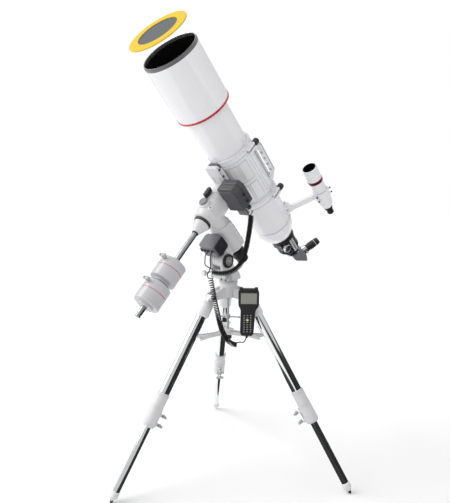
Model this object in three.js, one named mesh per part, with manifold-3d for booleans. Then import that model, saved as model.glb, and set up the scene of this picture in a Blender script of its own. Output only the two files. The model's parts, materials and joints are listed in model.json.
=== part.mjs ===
// A refractor telescope on an equatorial go-to mount with a folding tripod, built as separate parts.
// Millimetres, +Z up. The tripod's own axis is vertical, the polar axis lies in the plane x = 0 and points towards -Y.
import * as THREE from 'three';
import { mergeVertices } from 'three/addons/utils/BufferGeometryUtils.js';
import Module from 'manifold-3d';

const wasm = await Module();
wasm.setup();

// ---------- sizes ----------
const RAD = Math.PI / 180;
const GAP = 0.3;                       // clearance between touching parts
const FACETS = 0.43;                   // share of the nominal facet count of every round part
// tripod
const LEG_AZIMUTHS = { left: -102.1, right: 17.9, rear: 137.9 };
const LEG_PIVOT_R = 82, LEG_PIVOT_Z = 695;
const LEG_FOOT_R = 504;                // radius of the foot's tip on the floor
const LEG_LENGTH = Math.hypot(LEG_FOOT_R - LEG_PIVOT_R, LEG_PIVOT_Z);
const LEG_TUBE_R = 20, LEG_TUBE_WALL = 2.3, INNER_TUBE_R = 17.4;
const TOP_END = 81, CLAMP_START = 392, CLAMP_END = 524, INNER_START = 424, TUBE_END = 789;
const HUB_R = 36, HUB_BOTTOM = 688, HUB_TOP = 743;
const SPREADER_Z = 545, SPREADER_THICK = 12, SPREADER_TIP_R = 145.5;
const ROD_R = 4.5, HANDLE_Z = 607, HANDLE_HALF = 48;
// mount
const LATITUDE = 46;
const CROSSING = [0, -105.8, 1020.85]; // where the polar and declination axes cross
const PIVOT_Y = -46.2, PIVOT_Z = 836;  // the latitude pivot
const HOUSING_R = 40, HOUSING_FRONT = -67, HOUSING_REAR = -195;
// counterweights
const SHAFT_R = 10, SHAFT_END = 475, WEIGHT_R = 48;
const UPPER_WEIGHT = [247, 326.8], LOWER_WEIGHT = [346, 426];
// optical tube, on its own axis above the polar axis
const TUBE_UP = 225;
const TUBE_R = 80, TUBE_WALL = 2, TUBE_FRONT = 288, TUBE_REAR = -296;
const CAP_R = 100, CAP_WALL = 3, CAP_FRONT = 521, CAP_REAR = 290, RING_R = 101.5;
const CRADLE_R = 90, CRADLE_BORE = 80.4;
const FRONT_RING = [79, 112], REAR_RING = [-148, -115];
const LUG_X = 103;
const FINDER_ANGLE = 55 * RAD, FINDER_R = 236;
const FOCUSER_SHIFT = 8, SHIFT_ANGLE = 32 * RAD;  // the focuser sits a little off the tube's centre
const FOCUSER_ANGLE = 13 * RAD, DIAGONAL_ANGLE = 32 * RAD, DRAW_SHIFT = 6;
const EYEPIECE_Z = -536;
const BAR_TOP = 134.5 - TUBE_UP;       // the dovetail bar's top, seen from the optical axis
const FILTER_Z = 592, FILTER_R = 106;

// ---------- helpers ----------
const group = new THREE.Group();
group.name = 'refractor_telescope';

const V = (x, y, z) => new THREE.Vector3(x, y, z);
// A profile of [radius, height] points, turned about Z. It runs upwards on the outside.
function lathe(points, segments = 32) {
  const g = new THREE.LatheGeometry(points.map(([r, z]) => new THREE.Vector2(r, z)), Math.max(8, Math.round(segments * FACETS)));
  return g.rotateX(Math.PI / 2);
}
const rod = (r, z0, z1, segments = 24) => lathe([[0, z0], [r, z0], [r, z1], [0, z1]], segments);
const pipe = (r, bore, z0, z1, segments = 32) =>
  lathe([[bore, z0], [r, z0], [r, z1], [bore, z1], [bore, z0]], segments);
const box = (x0, x1, y0, y1, z0, z1) =>
  new THREE.BoxGeometry(x1 - x0, y1 - y0, z1 - z0).translate((x0 + x1) / 2, (y0 + y1) / 2, (z0 + z1) / 2);
// An outline of [x, y] points, extruded along Z from z0 to z1.
const plate = (outline, z0, z1) =>
  new THREE.ExtrudeGeometry(new THREE.Shape(outline.map(([x, y]) => new THREE.Vector2(x, y))),
    { depth: z1 - z0, bevelEnabled: false }).translate(0, 0, z0);
// Turns a solid made along +Z so that it runs along +X, +Y or -Y.
const turned = (matrix) => (g) => (g instanceof THREE.BufferGeometry ? g.clone().applyMatrix4(matrix) : g.transform(matrix.elements));
const alongX = turned(new THREE.Matrix4().makeRotationY(Math.PI / 2));
const alongY = turned(new THREE.Matrix4().makeRotationX(-Math.PI / 2));
const alongW = turned(new THREE.Matrix4().makeRotationX(Math.PI / 2));

function solid(geometry) {
  if (!(geometry instanceof THREE.BufferGeometry)) return geometry;
  const bare = (geometry.index ? geometry.toNonIndexed() : geometry.clone());
  for (const name of Object.keys(bare.attributes)) if (name !== 'position') bare.deleteAttribute(name);
  const merged = mergeVertices(bare, 1e-3);
  const source = merged.index.array, kept = [];
  for (let i = 0; i < source.length; i += 3) {
    const [a, b, c] = [source[i], source[i + 1], source[i + 2]];
    if (a !== b && b !== c && a !== c) kept.push(a, b, c);
  }
  return new wasm.Manifold(new wasm.Mesh({
    numProp: 3, vertProperties: Float32Array.from(merged.attributes.position.array), triVerts: Uint32Array.from(kept),
  }));
}
const union = (...parts) => parts.map(solid).reduce((a, b) => a.add(b));
const cut = (body, ...tools) => tools.map(solid).reduce((a, b) => a.subtract(b), solid(body));
const hull = (...parts) => wasm.Manifold.hull(parts.map(solid));
function toGeometry(body) {
  if (body instanceof THREE.BufferGeometry) return body;
  const mesh = body.getMesh();
  const g = new THREE.BufferGeometry();
  const xyz = new Float32Array(mesh.numVert * 3);
  for (let i = 0; i < mesh.numVert; i++)
    for (let k = 0; k < 3; k++) xyz[3 * i + k] = mesh.vertProperties[i * mesh.numProp + k];
  g.setAttribute('position', new THREE.BufferAttribute(xyz, 3));
  g.setIndex(new THREE.BufferAttribute(Uint32Array.from(mesh.triVerts), 1));
  const flat = g.toNonIndexed();
  flat.computeVertexNormals();
  return flat;
}

// colour, roughness, metalness
const FINISH = {
  white: [0xe9e9e6, 0.35, 0], cast: [0xd4d5d4, 0.45, 0.05], grey: [0x8f9294, 0.45, 0.1], dark: [0x3b3d40, 0.5, 0.1],
  black: [0x121214, 0.45, 0], chrome: [0xc9cccf, 0.15, 1], steel: [0xb4b6b8, 0.3, 1], glass: [0x3a4656, 0.05, 0],
  filter: [0xe0b32a, 0.35, 0.1], anodised: [0x202124, 0.3, 0.4],
};
function add(name, body, finish, matrix = null) {
  const [color, roughness, metalness] = FINISH[finish];
  const g = toGeometry(body);
  const mesh = new THREE.Mesh(g, new THREE.MeshStandardMaterial({ color, roughness, metalness }));
  mesh.name = name;
  if (matrix) {
    mesh.matrix.copy(matrix);
    mesh.matrix.decompose(mesh.position, mesh.quaternion, mesh.scale);
  }
  group.add(mesh);
  return mesh;
}

// ---------- frames ----------
const POLAR = new THREE.Matrix4().makeTranslation(...CROSSING)
  .multiply(new THREE.Matrix4().makeRotationX((90 - LATITUDE) * RAD));
const TUBE = POLAR.clone().multiply(new THREE.Matrix4().makeTranslation(0, TUBE_UP, 0));
// A frame on the optical axis turned so that its +Y points along the given angle, from up towards +X.
const onTube = (angle) => TUBE.clone().multiply(new THREE.Matrix4().makeRotationZ(-angle));
// A leg's frame: +Z down the leg from its pivot, +X sideways, +Y outwards.
function legFrame(azimuth) {
  const a = azimuth * RAD;
  const out = V(Math.cos(a), Math.sin(a), 0), side = V(-Math.sin(a), Math.cos(a), 0);
  const down = out.clone().multiplyScalar(LEG_FOOT_R - LEG_PIVOT_R).add(V(0, 0, -LEG_PIVOT_Z)).normalize();
  const outward = down.clone().cross(side);
  return new THREE.Matrix4().makeBasis(side, outward, down)
    .setPosition(out.clone().multiplyScalar(LEG_PIVOT_R).add(V(0, 0, LEG_PIVOT_Z)));
}
// The handset's frame: +X across it, +Y up, +Z towards its front.
const HANDSET = new THREE.Matrix4().makeBasis(V(0.7315, 0.6817, 0).normalize(), V(0, 0, 1), V(0.6817, -0.7315, 0).normalize()).setPosition(121, -22, 0);
const aboutZ = (degrees) => new THREE.Matrix4().makeRotationZ(degrees * RAD);

// ---------- tripod ----------
function tripodHub() {
  let hub = union(
    lathe([[0, HUB_BOTTOM], [HUB_R - 2, HUB_BOTTOM], [HUB_R, HUB_BOTTOM + 2], [HUB_R, HUB_TOP - 3], [HUB_R - 3, HUB_TOP], [0, HUB_TOP]], 36));
  for (const azimuth of Object.values(LEG_AZIMUTHS)) {
    const ears = [];
    for (const side of [-1, 1]) {
      const [a, b] = side < 0 ? [-20.5, -13] : [13, 20.5];
      const ear = hull(box(24, 30, a, b, HUB_BOTTOM + 1, 724), alongY(rod(14, a, b, 20)).translate(LEG_PIVOT_R, 0, LEG_PIVOT_Z));
      ears.push(cut(ear, alongY(rod(5.6, a - 1, b + 1, 16)).translate(LEG_PIVOT_R, 0, LEG_PIVOT_Z)));
    }
    hub = union(hub, ...ears.map(turned(aboutZ(azimuth))));
  }
  // the bracket that carries the handset, and its hook plate
  hub = union(hub, turned(aboutZ(-5.7))(box(30, 106, -5, 5, 722, 728)), turned(HANDSET)(box(-10, 10, 700, 728, -17.5, -13.4)));
  // a bore for the centre rod
  return cut(hub, rod(ROD_R + 0.5, HUB_BOTTOM - 1, HUB_TOP - 8, 20));
}
add('tripod_hub', tripodHub(), 'cast');

function centreRod() {
  const bar = alongX(lathe([[0, -HANDLE_HALF], [4.2, -HANDLE_HALF + 1], [4.2, -HANDLE_HALF + 8], [3, -HANDLE_HALF + 9],
    [3, HANDLE_HALF - 9], [4.2, HANDLE_HALF - 8], [4.2, HANDLE_HALF - 1], [0, HANDLE_HALF]], 12)).translate(0, 0, HANDLE_Z);
  return union(rod(ROD_R, 514, HUB_TOP - 9, 20), rod(9, HANDLE_Z - 9, HANDLE_Z + 9, 20),
    turned(aboutZ(33))(bar), rod(12, HUB_BOTTOM - 8, HUB_BOTTOM - GAP, 20));
}
add('centre_rod', centreRod(), 'steel');

function spreader() {
  const z0 = SPREADER_Z - SPREADER_THICK / 2, z1 = SPREADER_Z + SPREADER_THICK / 2;
  let body = union(rod(24, z0, z1 + 6, 24));
  const armOutline = [[10, -17], [60, -12], [100, -14], [SPREADER_TIP_R - 8, -27], [SPREADER_TIP_R - 1, -24],
    [SPREADER_TIP_R - 10, -12], [SPREADER_TIP_R - 13, 0], [SPREADER_TIP_R - 10, 12], [SPREADER_TIP_R - 1, 24],
    [SPREADER_TIP_R - 8, 27], [100, 14], [60, 12], [10, 17]];
  for (const azimuth of Object.values(LEG_AZIMUTHS)) {
    const pad = cut(box(112, SPREADER_TIP_R, -25, 25, z0 - 2, z1), rod(LEG_TUBE_R + 2, z0 - 10, z1 + 10, 24).scale(1.18, 1, 1).translate(SPREADER_TIP_R + 10, 0, 0));
    let arm = union(plate(armOutline.slice().reverse().map(([x, y]) => [x, -y]).reverse(), z0, z1));
    arm = union(arm, pad);
    const hole = rod(9, z0 - 5, z1 + 8, 20).scale(2.3, 0.8, 1).translate(66, 0, 0);
    arm = cut(arm, hole);
    body = union(body, turned(aboutZ(azimuth))(arm));
  }
  return cut(body, rod(ROD_R + 0.5, z0 - 1, z1 + 10, 20));
}
add('spreader', spreader(), 'cast');
add('spreader_nut', cut(
  lathe([[0, 518], [11, 518], [16, 522], [16, 533], [12, SPREADER_Z - SPREADER_THICK / 2 - GAP], [0, SPREADER_Z - SPREADER_THICK / 2 - GAP]], 12),
  rod(ROD_R + 0.5, 510, 545, 20)), 'black');

for (const [leg, azimuth] of Object.entries(LEG_AZIMUTHS)) {
  const frame = legFrame(azimuth);
  // the cast fitting that pivots in the hub's ears
  const tongue = hull(alongX(rod(13.5, -12.4, 12.4, 20)), box(-12.4, 12.4, -12, 12, 24, 30));
  const socket = lathe([[0, 22], [20, 22], [25.5, 34], [25.5, 74], [23.5, TOP_END], [0, TOP_END]], 28);
  const top = cut(union(tongue, socket, alongX(rod(5, -20.5, 20.5, 16))), rod(LEG_TUBE_R + GAP, 56, TOP_END + 1, 28));
  add(`${leg}_leg_top`, top, 'cast', frame);
  add(`${leg}_leg_tube`, pipe(LEG_TUBE_R, LEG_TUBE_R - LEG_TUBE_WALL, 56.3, CLAMP_START + 48, 28), 'chrome', frame);
  // the clamp casting, with two screw bosses on its inner side
  let clamp = lathe([[0, CLAMP_START], [23.5, CLAMP_START], [24.5, CLAMP_START + 4], [24.5, CLAMP_START + 60], [26, CLAMP_START + 64],
    [26, CLAMP_END - 8], [22.5, CLAMP_END], [0, CLAMP_END]], 28);
  clamp = union(clamp, ...[CLAMP_END - 52, CLAMP_END - 16].map((z) => alongW(rod(8, 0, 31, 16)).translate(0, 0, z)));
  clamp = cut(clamp, rod(LEG_TUBE_R + GAP, CLAMP_START - 1, CLAMP_START + 48.5, 28), rod(INNER_TUBE_R + GAP, CLAMP_START, CLAMP_END + 1, 28),
    alongW(rod(3.4, 0, 40, 12)).translate(0, 0, CLAMP_END - 52));
  add(`${leg}_leg_clamp`, clamp, 'grey', frame);
  // the inner tube and its foot
  const foot = lathe([[0, TUBE_END - 20], [INNER_TUBE_R, TUBE_END - 20], [INNER_TUBE_R + 1.6, TUBE_END - 16], [INNER_TUBE_R + 1.6, TUBE_END],
    [12, TUBE_END + 6], [6, LEG_LENGTH - 4], [0, LEG_LENGTH]], 28);
  add(`${leg}_leg_inner`, union(pipe(INNER_TUBE_R, INNER_TUBE_R - 2.4, INNER_START, TUBE_END - 18, 28), foot), 'chrome', frame);
  const wing = union(rod(3, -8, 14, 12), lathe([[0, 13], [5, 13], [6, 22], [0, 24]], 12), box(-15, 15, -2.5, 2.5, 16, 26));
  add(`${leg}_leg_screw`, turned(new THREE.Matrix4().makeRotationX(Math.PI / 2).setPosition(0, -17.5 - 8.6, CLAMP_END - 52))(wing), 'grey', frame);
}

// ---------- azimuth base ----------
function azimuthBase() {
  const side = [[-34, 757], [30, 757], [34, 764], [26, 782], [-2, 806], [-16, 834]];
  const rearEdge = side.map(([y, z]) => [y, z]);
  const cheekOutline = [...rearEdge];
  for (let a = -5; a <= 185; a += 19) cheekOutline.push([PIVOT_Y + 30 * Math.cos(a * RAD), PIVOT_Z + 30 * Math.sin(a * RAD)]);
  cheekOutline.push([-70, 800], [-56, 770]);
  // the outline is in the plane of Y and Z, so it is extruded along Z and then stood up along X
  const stand = new THREE.Matrix4().makeBasis(V(0, 1, 0), V(0, 0, 1), V(1, 0, 0));
  let body = turned(stand)(solid(plate(cheekOutline, -34, 34)));
  const fork = turned(stand)(solid(union(rod(31, -22, 22, 32).translate(PIVOT_Y, PIVOT_Z, 0),
    plate([[-90, 836], [-78, 812], [-60, 802], [0, 802], [40, 812], [40, 900], [-90, 900]], -22, 22))));
  body = cut(body, fork);
  body = union(body, lathe([[0, HUB_TOP + GAP], [HUB_R, HUB_TOP + GAP], [HUB_R, 756], [HUB_R - 3, 759], [0, 759]], 36),
    alongY(rod(9, 0, 10, 16)).translate(-20, -66, 791));
  const bores = [
    alongX(rod(5.6, -40, 40, 20)).translate(0, PIVOT_Y, PIVOT_Z),
    alongX(rod(3.4, -60, -20, 12)).translate(0, -41, 771), alongX(rod(3.4, 20, 60, 12)).translate(0, -41, 771),
    alongW(rod(3.4, 50, 90, 12)).translate(-20, 0, 791)];
  return cut(body, ...bores);
}
add('azimuth_base', azimuthBase(), 'white');
const AXLE = new THREE.Matrix4().makeTranslation(0, PIVOT_Y, PIVOT_Z);
add('latitude_axle', alongX(union(rod(5, -33, 35, 20), lathe([[0, 34 + GAP], [27, 34 + GAP], [27, 41], [24, 44], [0, 44]], 36))), 'dark', AXLE);
const pressScrew = (length, head) => union(rod(3, 0, length, 12), lathe([[0, length - head], [9, length - head], [11, length - head + 2], [11, length - 2], [9, length], [0, length]], 10));
add('azimuth_bolt_left', turned(new THREE.Matrix4().makeRotationY(-Math.PI / 2).setPosition(-24, -41, 771))(pressScrew(24, 10)), 'grey');
add('azimuth_bolt_right', turned(new THREE.Matrix4().makeRotationY(Math.PI / 2).setPosition(24, -41, 771))(pressScrew(24, 10)), 'grey');
add('latitude_bolt', turned(new THREE.Matrix4().makeRotationX(Math.PI / 2).setPosition(-20, -58, 791))(pressScrew(64, 14)), 'white');

// ---------- polar housing ----------
function polarHousing() {
  const barrel = lathe([[0, HOUSING_REAR], [36, HOUSING_REAR], [38, HOUSING_REAR + 4], [38, -150], [HOUSING_R, -140], [42, -100], [42, HOUSING_FRONT - 3], [40, HOUSING_FRONT], [0, HOUSING_FRONT]], 36);
  // the arm to the latitude pivot: its outline is in the plane of the polar axis and its downward normal
  const arm = hull(box(-21.5, 21.5, -30, 0, -192, -140), alongX(rod(26.5, -21.5, 21.5, 32)).translate(0, -85.5, -174.4));
  const rib = turned(new THREE.Matrix4().makeRotationZ(-60 * RAD))(solid(box(-8, 8, 30, 47, -190, -72)));
  return cut(union(barrel, arm, rib), alongX(rod(5.6, -30, 30, 20)).translate(0, -85.5, -174.4));
}
add('polar_housing', polarHousing(), 'white', POLAR);
add('polar_scope', lathe([[0, -276], [18, -276], [24, -272], [24, -250], [28, -246], [28, -206], [25, -203], [25, HOUSING_REAR - GAP], [0, HOUSING_REAR - GAP]], 32), 'black', POLAR);
{
  const outline = [[-38, -52], [-30, -43.5], [36, -43.5], [44, -51], [44, -98], [34, -110], [-26, -110], [-38, -100]];
  const body = union(solid(plate(outline, -130, -73)));
  const sockets = [3.9, 24.6].map((x) => alongW(rod(6, 108, 113, 12)).translate(x, 0, -93.5));
  add('ra_motor_box', union(body, ...sockets), 'dark', POLAR);
}

// ---------- declination head ----------
function decHousing() {
  const barrel = alongW(lathe([[0, -100], [40, -100], [40, -64], [50, -52], [50, -22], [44, 10], [44, 24], [38, 38], [38, 51.7], [0, 51.7]], 40));
  const stub = rod(36, HOUSING_FRONT + GAP, 0, 36);
  const boss = lathe([[0, 0], [26, 0], [24, 40], [22, 49.7], [0, 49.7]], 28);
  const clutchSeat = rod(14, 20, 50.3, 24).translate(0, 38.2, 0);
  return cut(union(barrel, stub, boss, clutchSeat), rod(4.5, 30, 52, 16).translate(0, 38.2, 0));
}
add('dec_housing', decHousing(), 'white', POLAR);
add('polar_cap', lathe([[0, 50], [16.2, 50], [16.2, 56], [14.5, 58], [0, 58]], 28), 'grey', POLAR);
add('dec_clutch_knob', union(rod(4, 36, 52, 16).translate(0, 38.2, 0),
  lathe([[0, 50.6], [9, 50.6], [9, 53], [20, 54], [21.6, 56], [21.6, 66], [19.5, 68], [0, 68]], 16).translate(0, 38.2, 0)), 'black', POLAR);
{
  // outline in the plane of X and the tube axis, extruded across the declination axis
  const lying = new THREE.Matrix4().makeBasis(V(1, 0, 0), V(0, 0, 1), V(0, -1, 0));
  const outline = [[38, -39], [112, -39], [127, -24], [127, 52], [114, 69], [38, 69]];
  let body = turned(lying)(solid(plate(outline, -99, -46)));
  body = cut(body, alongW(lathe([[0, -101], [41, -101], [41, -63], [51, -51], [51, -20], [0, -20]], 40)));
  const sockets = [-8, 22].map((z) => alongX(rod(6, 126, 131, 12)).translate(0, 72, z));
  const plug = box(106, 118, 68, 82, -52, -38);
  add('dec_motor_box', union(body, ...sockets, plug), 'dark', POLAR);
}
add('dec_setting_circle', alongW(pipe(32.5, SHAFT_R + 0.4, 52, 61.8, 40)), 'black', POLAR);
add('shaft_collar', alongW(lathe([[SHAFT_R + 0.3, 62.1], [30, 62.1], [30, 68], [14, 103], [13, 105], [SHAFT_R + 0.3, 105], [SHAFT_R + 0.3, 62.1]], 32)), 'white', POLAR);
add('counterweight_shaft', alongW(lathe([[0, 52], [SHAFT_R, 52], [SHAFT_R, SHAFT_END - 12], [8.5, SHAFT_END - 10], [8.5, SHAFT_END - 7], [SHAFT_R, SHAFT_END - 5], [SHAFT_R, SHAFT_END - 1], [SHAFT_R - 1, SHAFT_END], [0, SHAFT_END]], 24)), 'steel', POLAR);
function weight([w0, w1], bossUp, bossDown) {
  const bore = SHAFT_R + GAP;
  const body = alongW(lathe([[bore, w0 - bossUp], [29, w0 - bossUp], [30, w0 - bossUp + 1], [30, w0], [WEIGHT_R - 2, w0], [WEIGHT_R, w0 + 2],
    [WEIGHT_R, w1 - 2], [WEIGHT_R - 2, w1], [30, w1], [30, w1 + bossDown], [bore, w1 + bossDown], [bore, w0 - bossUp]], 40));
  return cut(body, rod(3.4, 5, 60, 12).translate(0, -(w0 + 13), 0));
}
add('upper_weight', weight(UPPER_WEIGHT, 8, 9), 'white', POLAR);
add('lower_weight', weight(LOWER_WEIGHT, 9, 8), 'white', POLAR);
for (const [name, w] of [['upper', UPPER_WEIGHT[0] + 13], ['lower', LOWER_WEIGHT[0] + 13]]) {
  const wing = union(rod(3, 14, 58, 12), lathe([[0, 52], [5.5, 52], [6.5, 58], [0, 60]], 12), box(-14, 14, -3, 3, 55, 69));
  add(`${name}_weight_screw`, turned(new THREE.Matrix4().makeTranslation(0, -w, 0))(wing), 'steel', POLAR);
}

// ---------- saddle and cradle ----------
{
  const plateTop = 122;
  const outline = [[-30, -66], [-24, -74], [24, -74], [30, -66], [30, 104], [24, 113], [-24, 113], [-30, 104]];
  const lying = new THREE.Matrix4().makeBasis(V(1, 0, 0), V(0, 0, -1), V(0, 1, 0));
  const deck = turned(lying)(solid(plate(outline.map(([x, z]) => [x, -z]).reverse(), 107, plateTop)));
  const jaws = [-1, 1].flatMap((s) => [[-70, -30], [40, 96]].map(([z0, z1]) => box(s < 0 ? -30 : 23.4, s < 0 ? -23.4 : 30, plateTop - 1, 131, z0, z1)));
  const disc = alongY(rod(38, 100.5, 107.5, 32)), screw = alongX(rod(4.5, 28, 33, 12)).translate(0, 114, 100);
  add('saddle', union(deck, ...jaws, disc, screw), 'white', POLAR);
}
add('dovetail_bar', box(-22.5, 22.5, 122.4, 134.2, -150, 114), 'dark', POLAR);

function halfRing(upper, [z0, z1]) {
  const ring = pipe(CRADLE_R, CRADLE_BORE, z0, z1, 56);
  const half = upper ? box(-120, 120, -120, 0.2, z0 - 1, z1 + 1) : box(-120, 120, -0.2, 120, z0 - 1, z1 + 1);
  return cut(ring, half);
}
function cradleLower() {
  let body = null;
  for (const ring of [FRONT_RING, REAR_RING]) {
    const [z0, z1] = ring;
    const foot = box(-30, 30, BAR_TOP, -72, z0, z1);
    let lug = cut(box(84, 113, -18, -0.3, z0 + 4, z1 - 4), box(98.4, 120, -20, 2, (z0 + z1) / 2 - 4.8, (z0 + z1) / 2 + 4.8));
    const pin = rod(2.5, z0, z1, 12).translate(-97, 0, 0);
    const knuckles = [[z0, z0 + 9], [z1 - 9, z1]].map(([a, b]) => hull(rod(6.5, a, b, 16).translate(-97, 0, 0), box(-88, -84, -14, -4, a, b)))
      .map((k) => cut(k, box(-93.5, 0, -0.2, 20, z0 - 1, z1 + 1)));
    const part = cut(union(halfRing(false, ring), foot, lug, pin, ...knuckles), box(-60, 60, -130, BAR_TOP, z0 - 2, z1 + 2),
      rod(CRADLE_BORE, z0 - 2, z1 + 2, 56));
    body = body ? union(body, part) : part;
  }
  const shell = cut(pipe(85.4, 82.4, REAR_RING[1] - 1, FRONT_RING[0] + 1, 56), box(-120, 120, -0.2, 120, -300, 300), box(-60, 60, -130, BAR_TOP, -200, 200));
  return union(body, shell);
}
add('cradle_lower', cradleLower(), 'white', TUBE);
function cradleUpper() {
  let body = null;
  for (const ring of [FRONT_RING, REAR_RING]) {
    const [z0, z1] = ring, mid = (z0 + z1) / 2;
    const lug = cut(box(84, 113, 0.3, 30, z0 + 4, z1 - 4), alongY(rod(4.6, -2, 40, 16)).translate(LUG_X, 0, mid));
    const knuckle = cut(hull(rod(6.5, z0 + 9.4, z1 - 9.4, 16).translate(-97, 0, 0), box(-88, -84, 4, 14, z0 + 9.4, z1 - 9.4)), box(-93.5, 0, -20, 0.2, z0 - 1, z1 + 1),
      rod(2.9, z0, z1, 12).translate(-97, 0, 0));
    const part = cut(union(halfRing(true, ring), lug, knuckle), rod(CRADLE_BORE, z0 - 2, z1 + 2, 56),
      ...[[z0 - 1, z0 + 9.3], [z1 - 9.3, z1 + 1]].map(([a, b]) => rod(7.4, a, b, 16).translate(-97, 0, 0)));
    body = body ? union(body, part) : part;
  }
  const shell = cut(pipe(85.4, 82.4, REAR_RING[1] - 1, FRONT_RING[0] + 1, 56), box(-120, 120, -120, 0.2, -300, 300));
  // the carrying handle, with finger hollows on its inner side
  const handleOutline = [[-118, 83], [-118, 88], [-90, 99], [-60, 117], [66, 118], [80.5, 110], [80.5, 83], [60, 83], [56, 96], [48, 100], [-56, 100], [-70, 92], [-84, 84], [-90, 83]];
  const stand = new THREE.Matrix4().makeBasis(V(0, 0, 1), V(0, 1, 0), V(-1, 0, 0));
  let handle = turned(stand)(solid(plate(handleOutline.slice().reverse(), -9, 9)));
  const hollows = [-38, -14, 10, 34].map((z) => alongX(rod(14, -20, 20, 20)).translate(0, 91, z));
  handle = cut(handle, ...hollows);
  return union(body, shell, turned(new THREE.Matrix4().makeRotationZ(-57 * RAD))(handle));
}
add('cradle_upper', cut(cradleUpper(), rod(CRADLE_BORE, -200, 200, 56)), 'white', TUBE);
for (const [name, ring] of [['front', FRONT_RING], ['rear', REAR_RING]]) {
  const knob = union(rod(4, -17.5, 33, 12), lathe([[0, 30.4], [9, 30.4], [12.5, 34], [12.5, 49], [10, 52], [0, 52]], 16));
  add(`cradle_knob_${name}`, turned(new THREE.Matrix4().makeRotationX(-Math.PI / 2).setPosition(LUG_X, 0, (ring[0] + ring[1]) / 2))(knob), 'black', TUBE);
}

// ---------- optical tube ----------
{
  const shoe = turned(new THREE.Matrix4().makeRotationZ(-FINDER_ANGLE))(solid(cut(box(-17, 17, 76, 89, -286, -236), box(-9.4, 9.4, 82.6, 100, -300, -230))));
  add('main_tube', cut(union(pipe(TUBE_R, TUBE_R - TUBE_WALL, TUBE_REAR, TUBE_FRONT, 56), shoe), rod(TUBE_R - TUBE_WALL, -290, -220, 56)), 'white', TUBE);
}
add('dew_cap', lathe([[CAP_R - CAP_WALL, CAP_REAR], [RING_R - 2, CAP_REAR], [RING_R, CAP_REAR + 3], [RING_R, CAP_REAR + 10], [CAP_R, CAP_REAR + 10.5],
  [CAP_R, CAP_FRONT - 3], [CAP_R - 1, CAP_FRONT], [CAP_R - CAP_WALL, CAP_FRONT], [CAP_R - CAP_WALL, CAP_REAR]], 56), 'white', TUBE);
add('objective', lathe([[0, 292], [72, TUBE_FRONT + GAP], [CAP_R - CAP_WALL - GAP, TUBE_FRONT + GAP], [CAP_R - CAP_WALL - GAP, 326],
  [80, 326], [76, 314], [55, 318], [0, 321.5]], 56), 'glass', TUBE);
add('rear_cell', lathe([[46, -378], [50, -378], [56, -374], [68, -356], [76, -338], [TUBE_R, -318], [TUBE_R, -309], [86, -307], [86, TUBE_REAR - GAP],
  [75, TUBE_REAR - GAP], [72, -330], [46, -366], [46, -378]], 56), 'white', TUBE);
const FOCUSER = onTube(SHIFT_ANGLE).multiply(new THREE.Matrix4().makeTranslation(0, FOCUSER_SHIFT, 0))
  .multiply(new THREE.Matrix4().makeRotationZ(SHIFT_ANGLE - FOCUSER_ANGLE));
const DRAW = onTube(DIAGONAL_ANGLE).multiply(new THREE.Matrix4().makeTranslation(0, FOCUSER_SHIFT + DRAW_SHIFT, 0));
const inFocuser = (g) => turned(FOCUSER.clone().invert().multiply(DRAW))(g);
{
  const barrel = lathe([[0, -472], [42, -472], [46, -466], [46, -404], [48, -401], [50, -400], [50, -378.3], [0, -378.3]], 40);
  const body = cut(union(barrel, box(-30, 30, -46, -20, -436, -404)), inFocuser(rod(30.4, -480, -370, 40)),
    alongX(rod(3.4, -60, 60, 16)).translate(0, -34, -420), box(-19.5, 19.5, -60, -46.5, -480, -440),
    ...[[-60, -37.1], [36.7, 60]].map(([x0, x1]) => alongX(rod(19, x0, x1, 24)).translate(0, -34, -420)));
  add('focuser_body', body, 'black', FOCUSER);
}
add('drawtube', lathe([[16.5, -500], [33, -500], [33, -488], [30, -487], [30, -386], [27, -386], [27, -484], [16.5, -490], [16.5, -500]], 40), 'anodised', DRAW);
{
  // the axle with its large knob on one side and a small cap on the other
  const axle = lathe([[0, -44], [8, -44], [8, -37.5], [3, -37.5], [3, 37], [9, 37], [9, 41], [17.5, 42], [17.5, 54], [15.5, 56], [0, 56]], 24);
  const slotted = union(alongX(axle), alongX(rod(3, -50, 50, 16)));
  add('focus_knob', turned(new THREE.Matrix4().makeTranslation(0, -34, -420))(slotted), 'steel', FOCUSER);
}
{
  const nose = rod(15.8, -503, -488, 24);
  const wedge = [[-14, -501], [24, -501], [41, -520], [41, -553], [34, -577], [29, -577], [-9, -540], [-14, -534]];
  const stand = new THREE.Matrix4().makeBasis(V(0, 1, 0), V(0, 0, 1), V(1, 0, 0));
  const prism = turned(stand)(solid(plate(wedge.slice().reverse(), -21, 21)));
  const sleeve = alongY(rod(19.5, 20, 58, 28)).translate(0, 0, EYEPIECE_Z);
  const collar = rod(21, -506, -500.3, 28);
  add('diagonal', cut(union(nose, collar, prism, sleeve), alongY(rod(16.1, 24, 60, 28)).translate(0, 0, EYEPIECE_Z)), 'dark', DRAW);
  add('eyepiece', alongY(lathe([[0, 26], [15.8, 26], [15.8, 58.4], [16.5, 58.4], [16.5, 116], [14, 123], [9, 123], [8, 120], [0, 120]], 28)).translate(0, 0, EYEPIECE_Z), 'black', DRAW);
}
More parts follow.
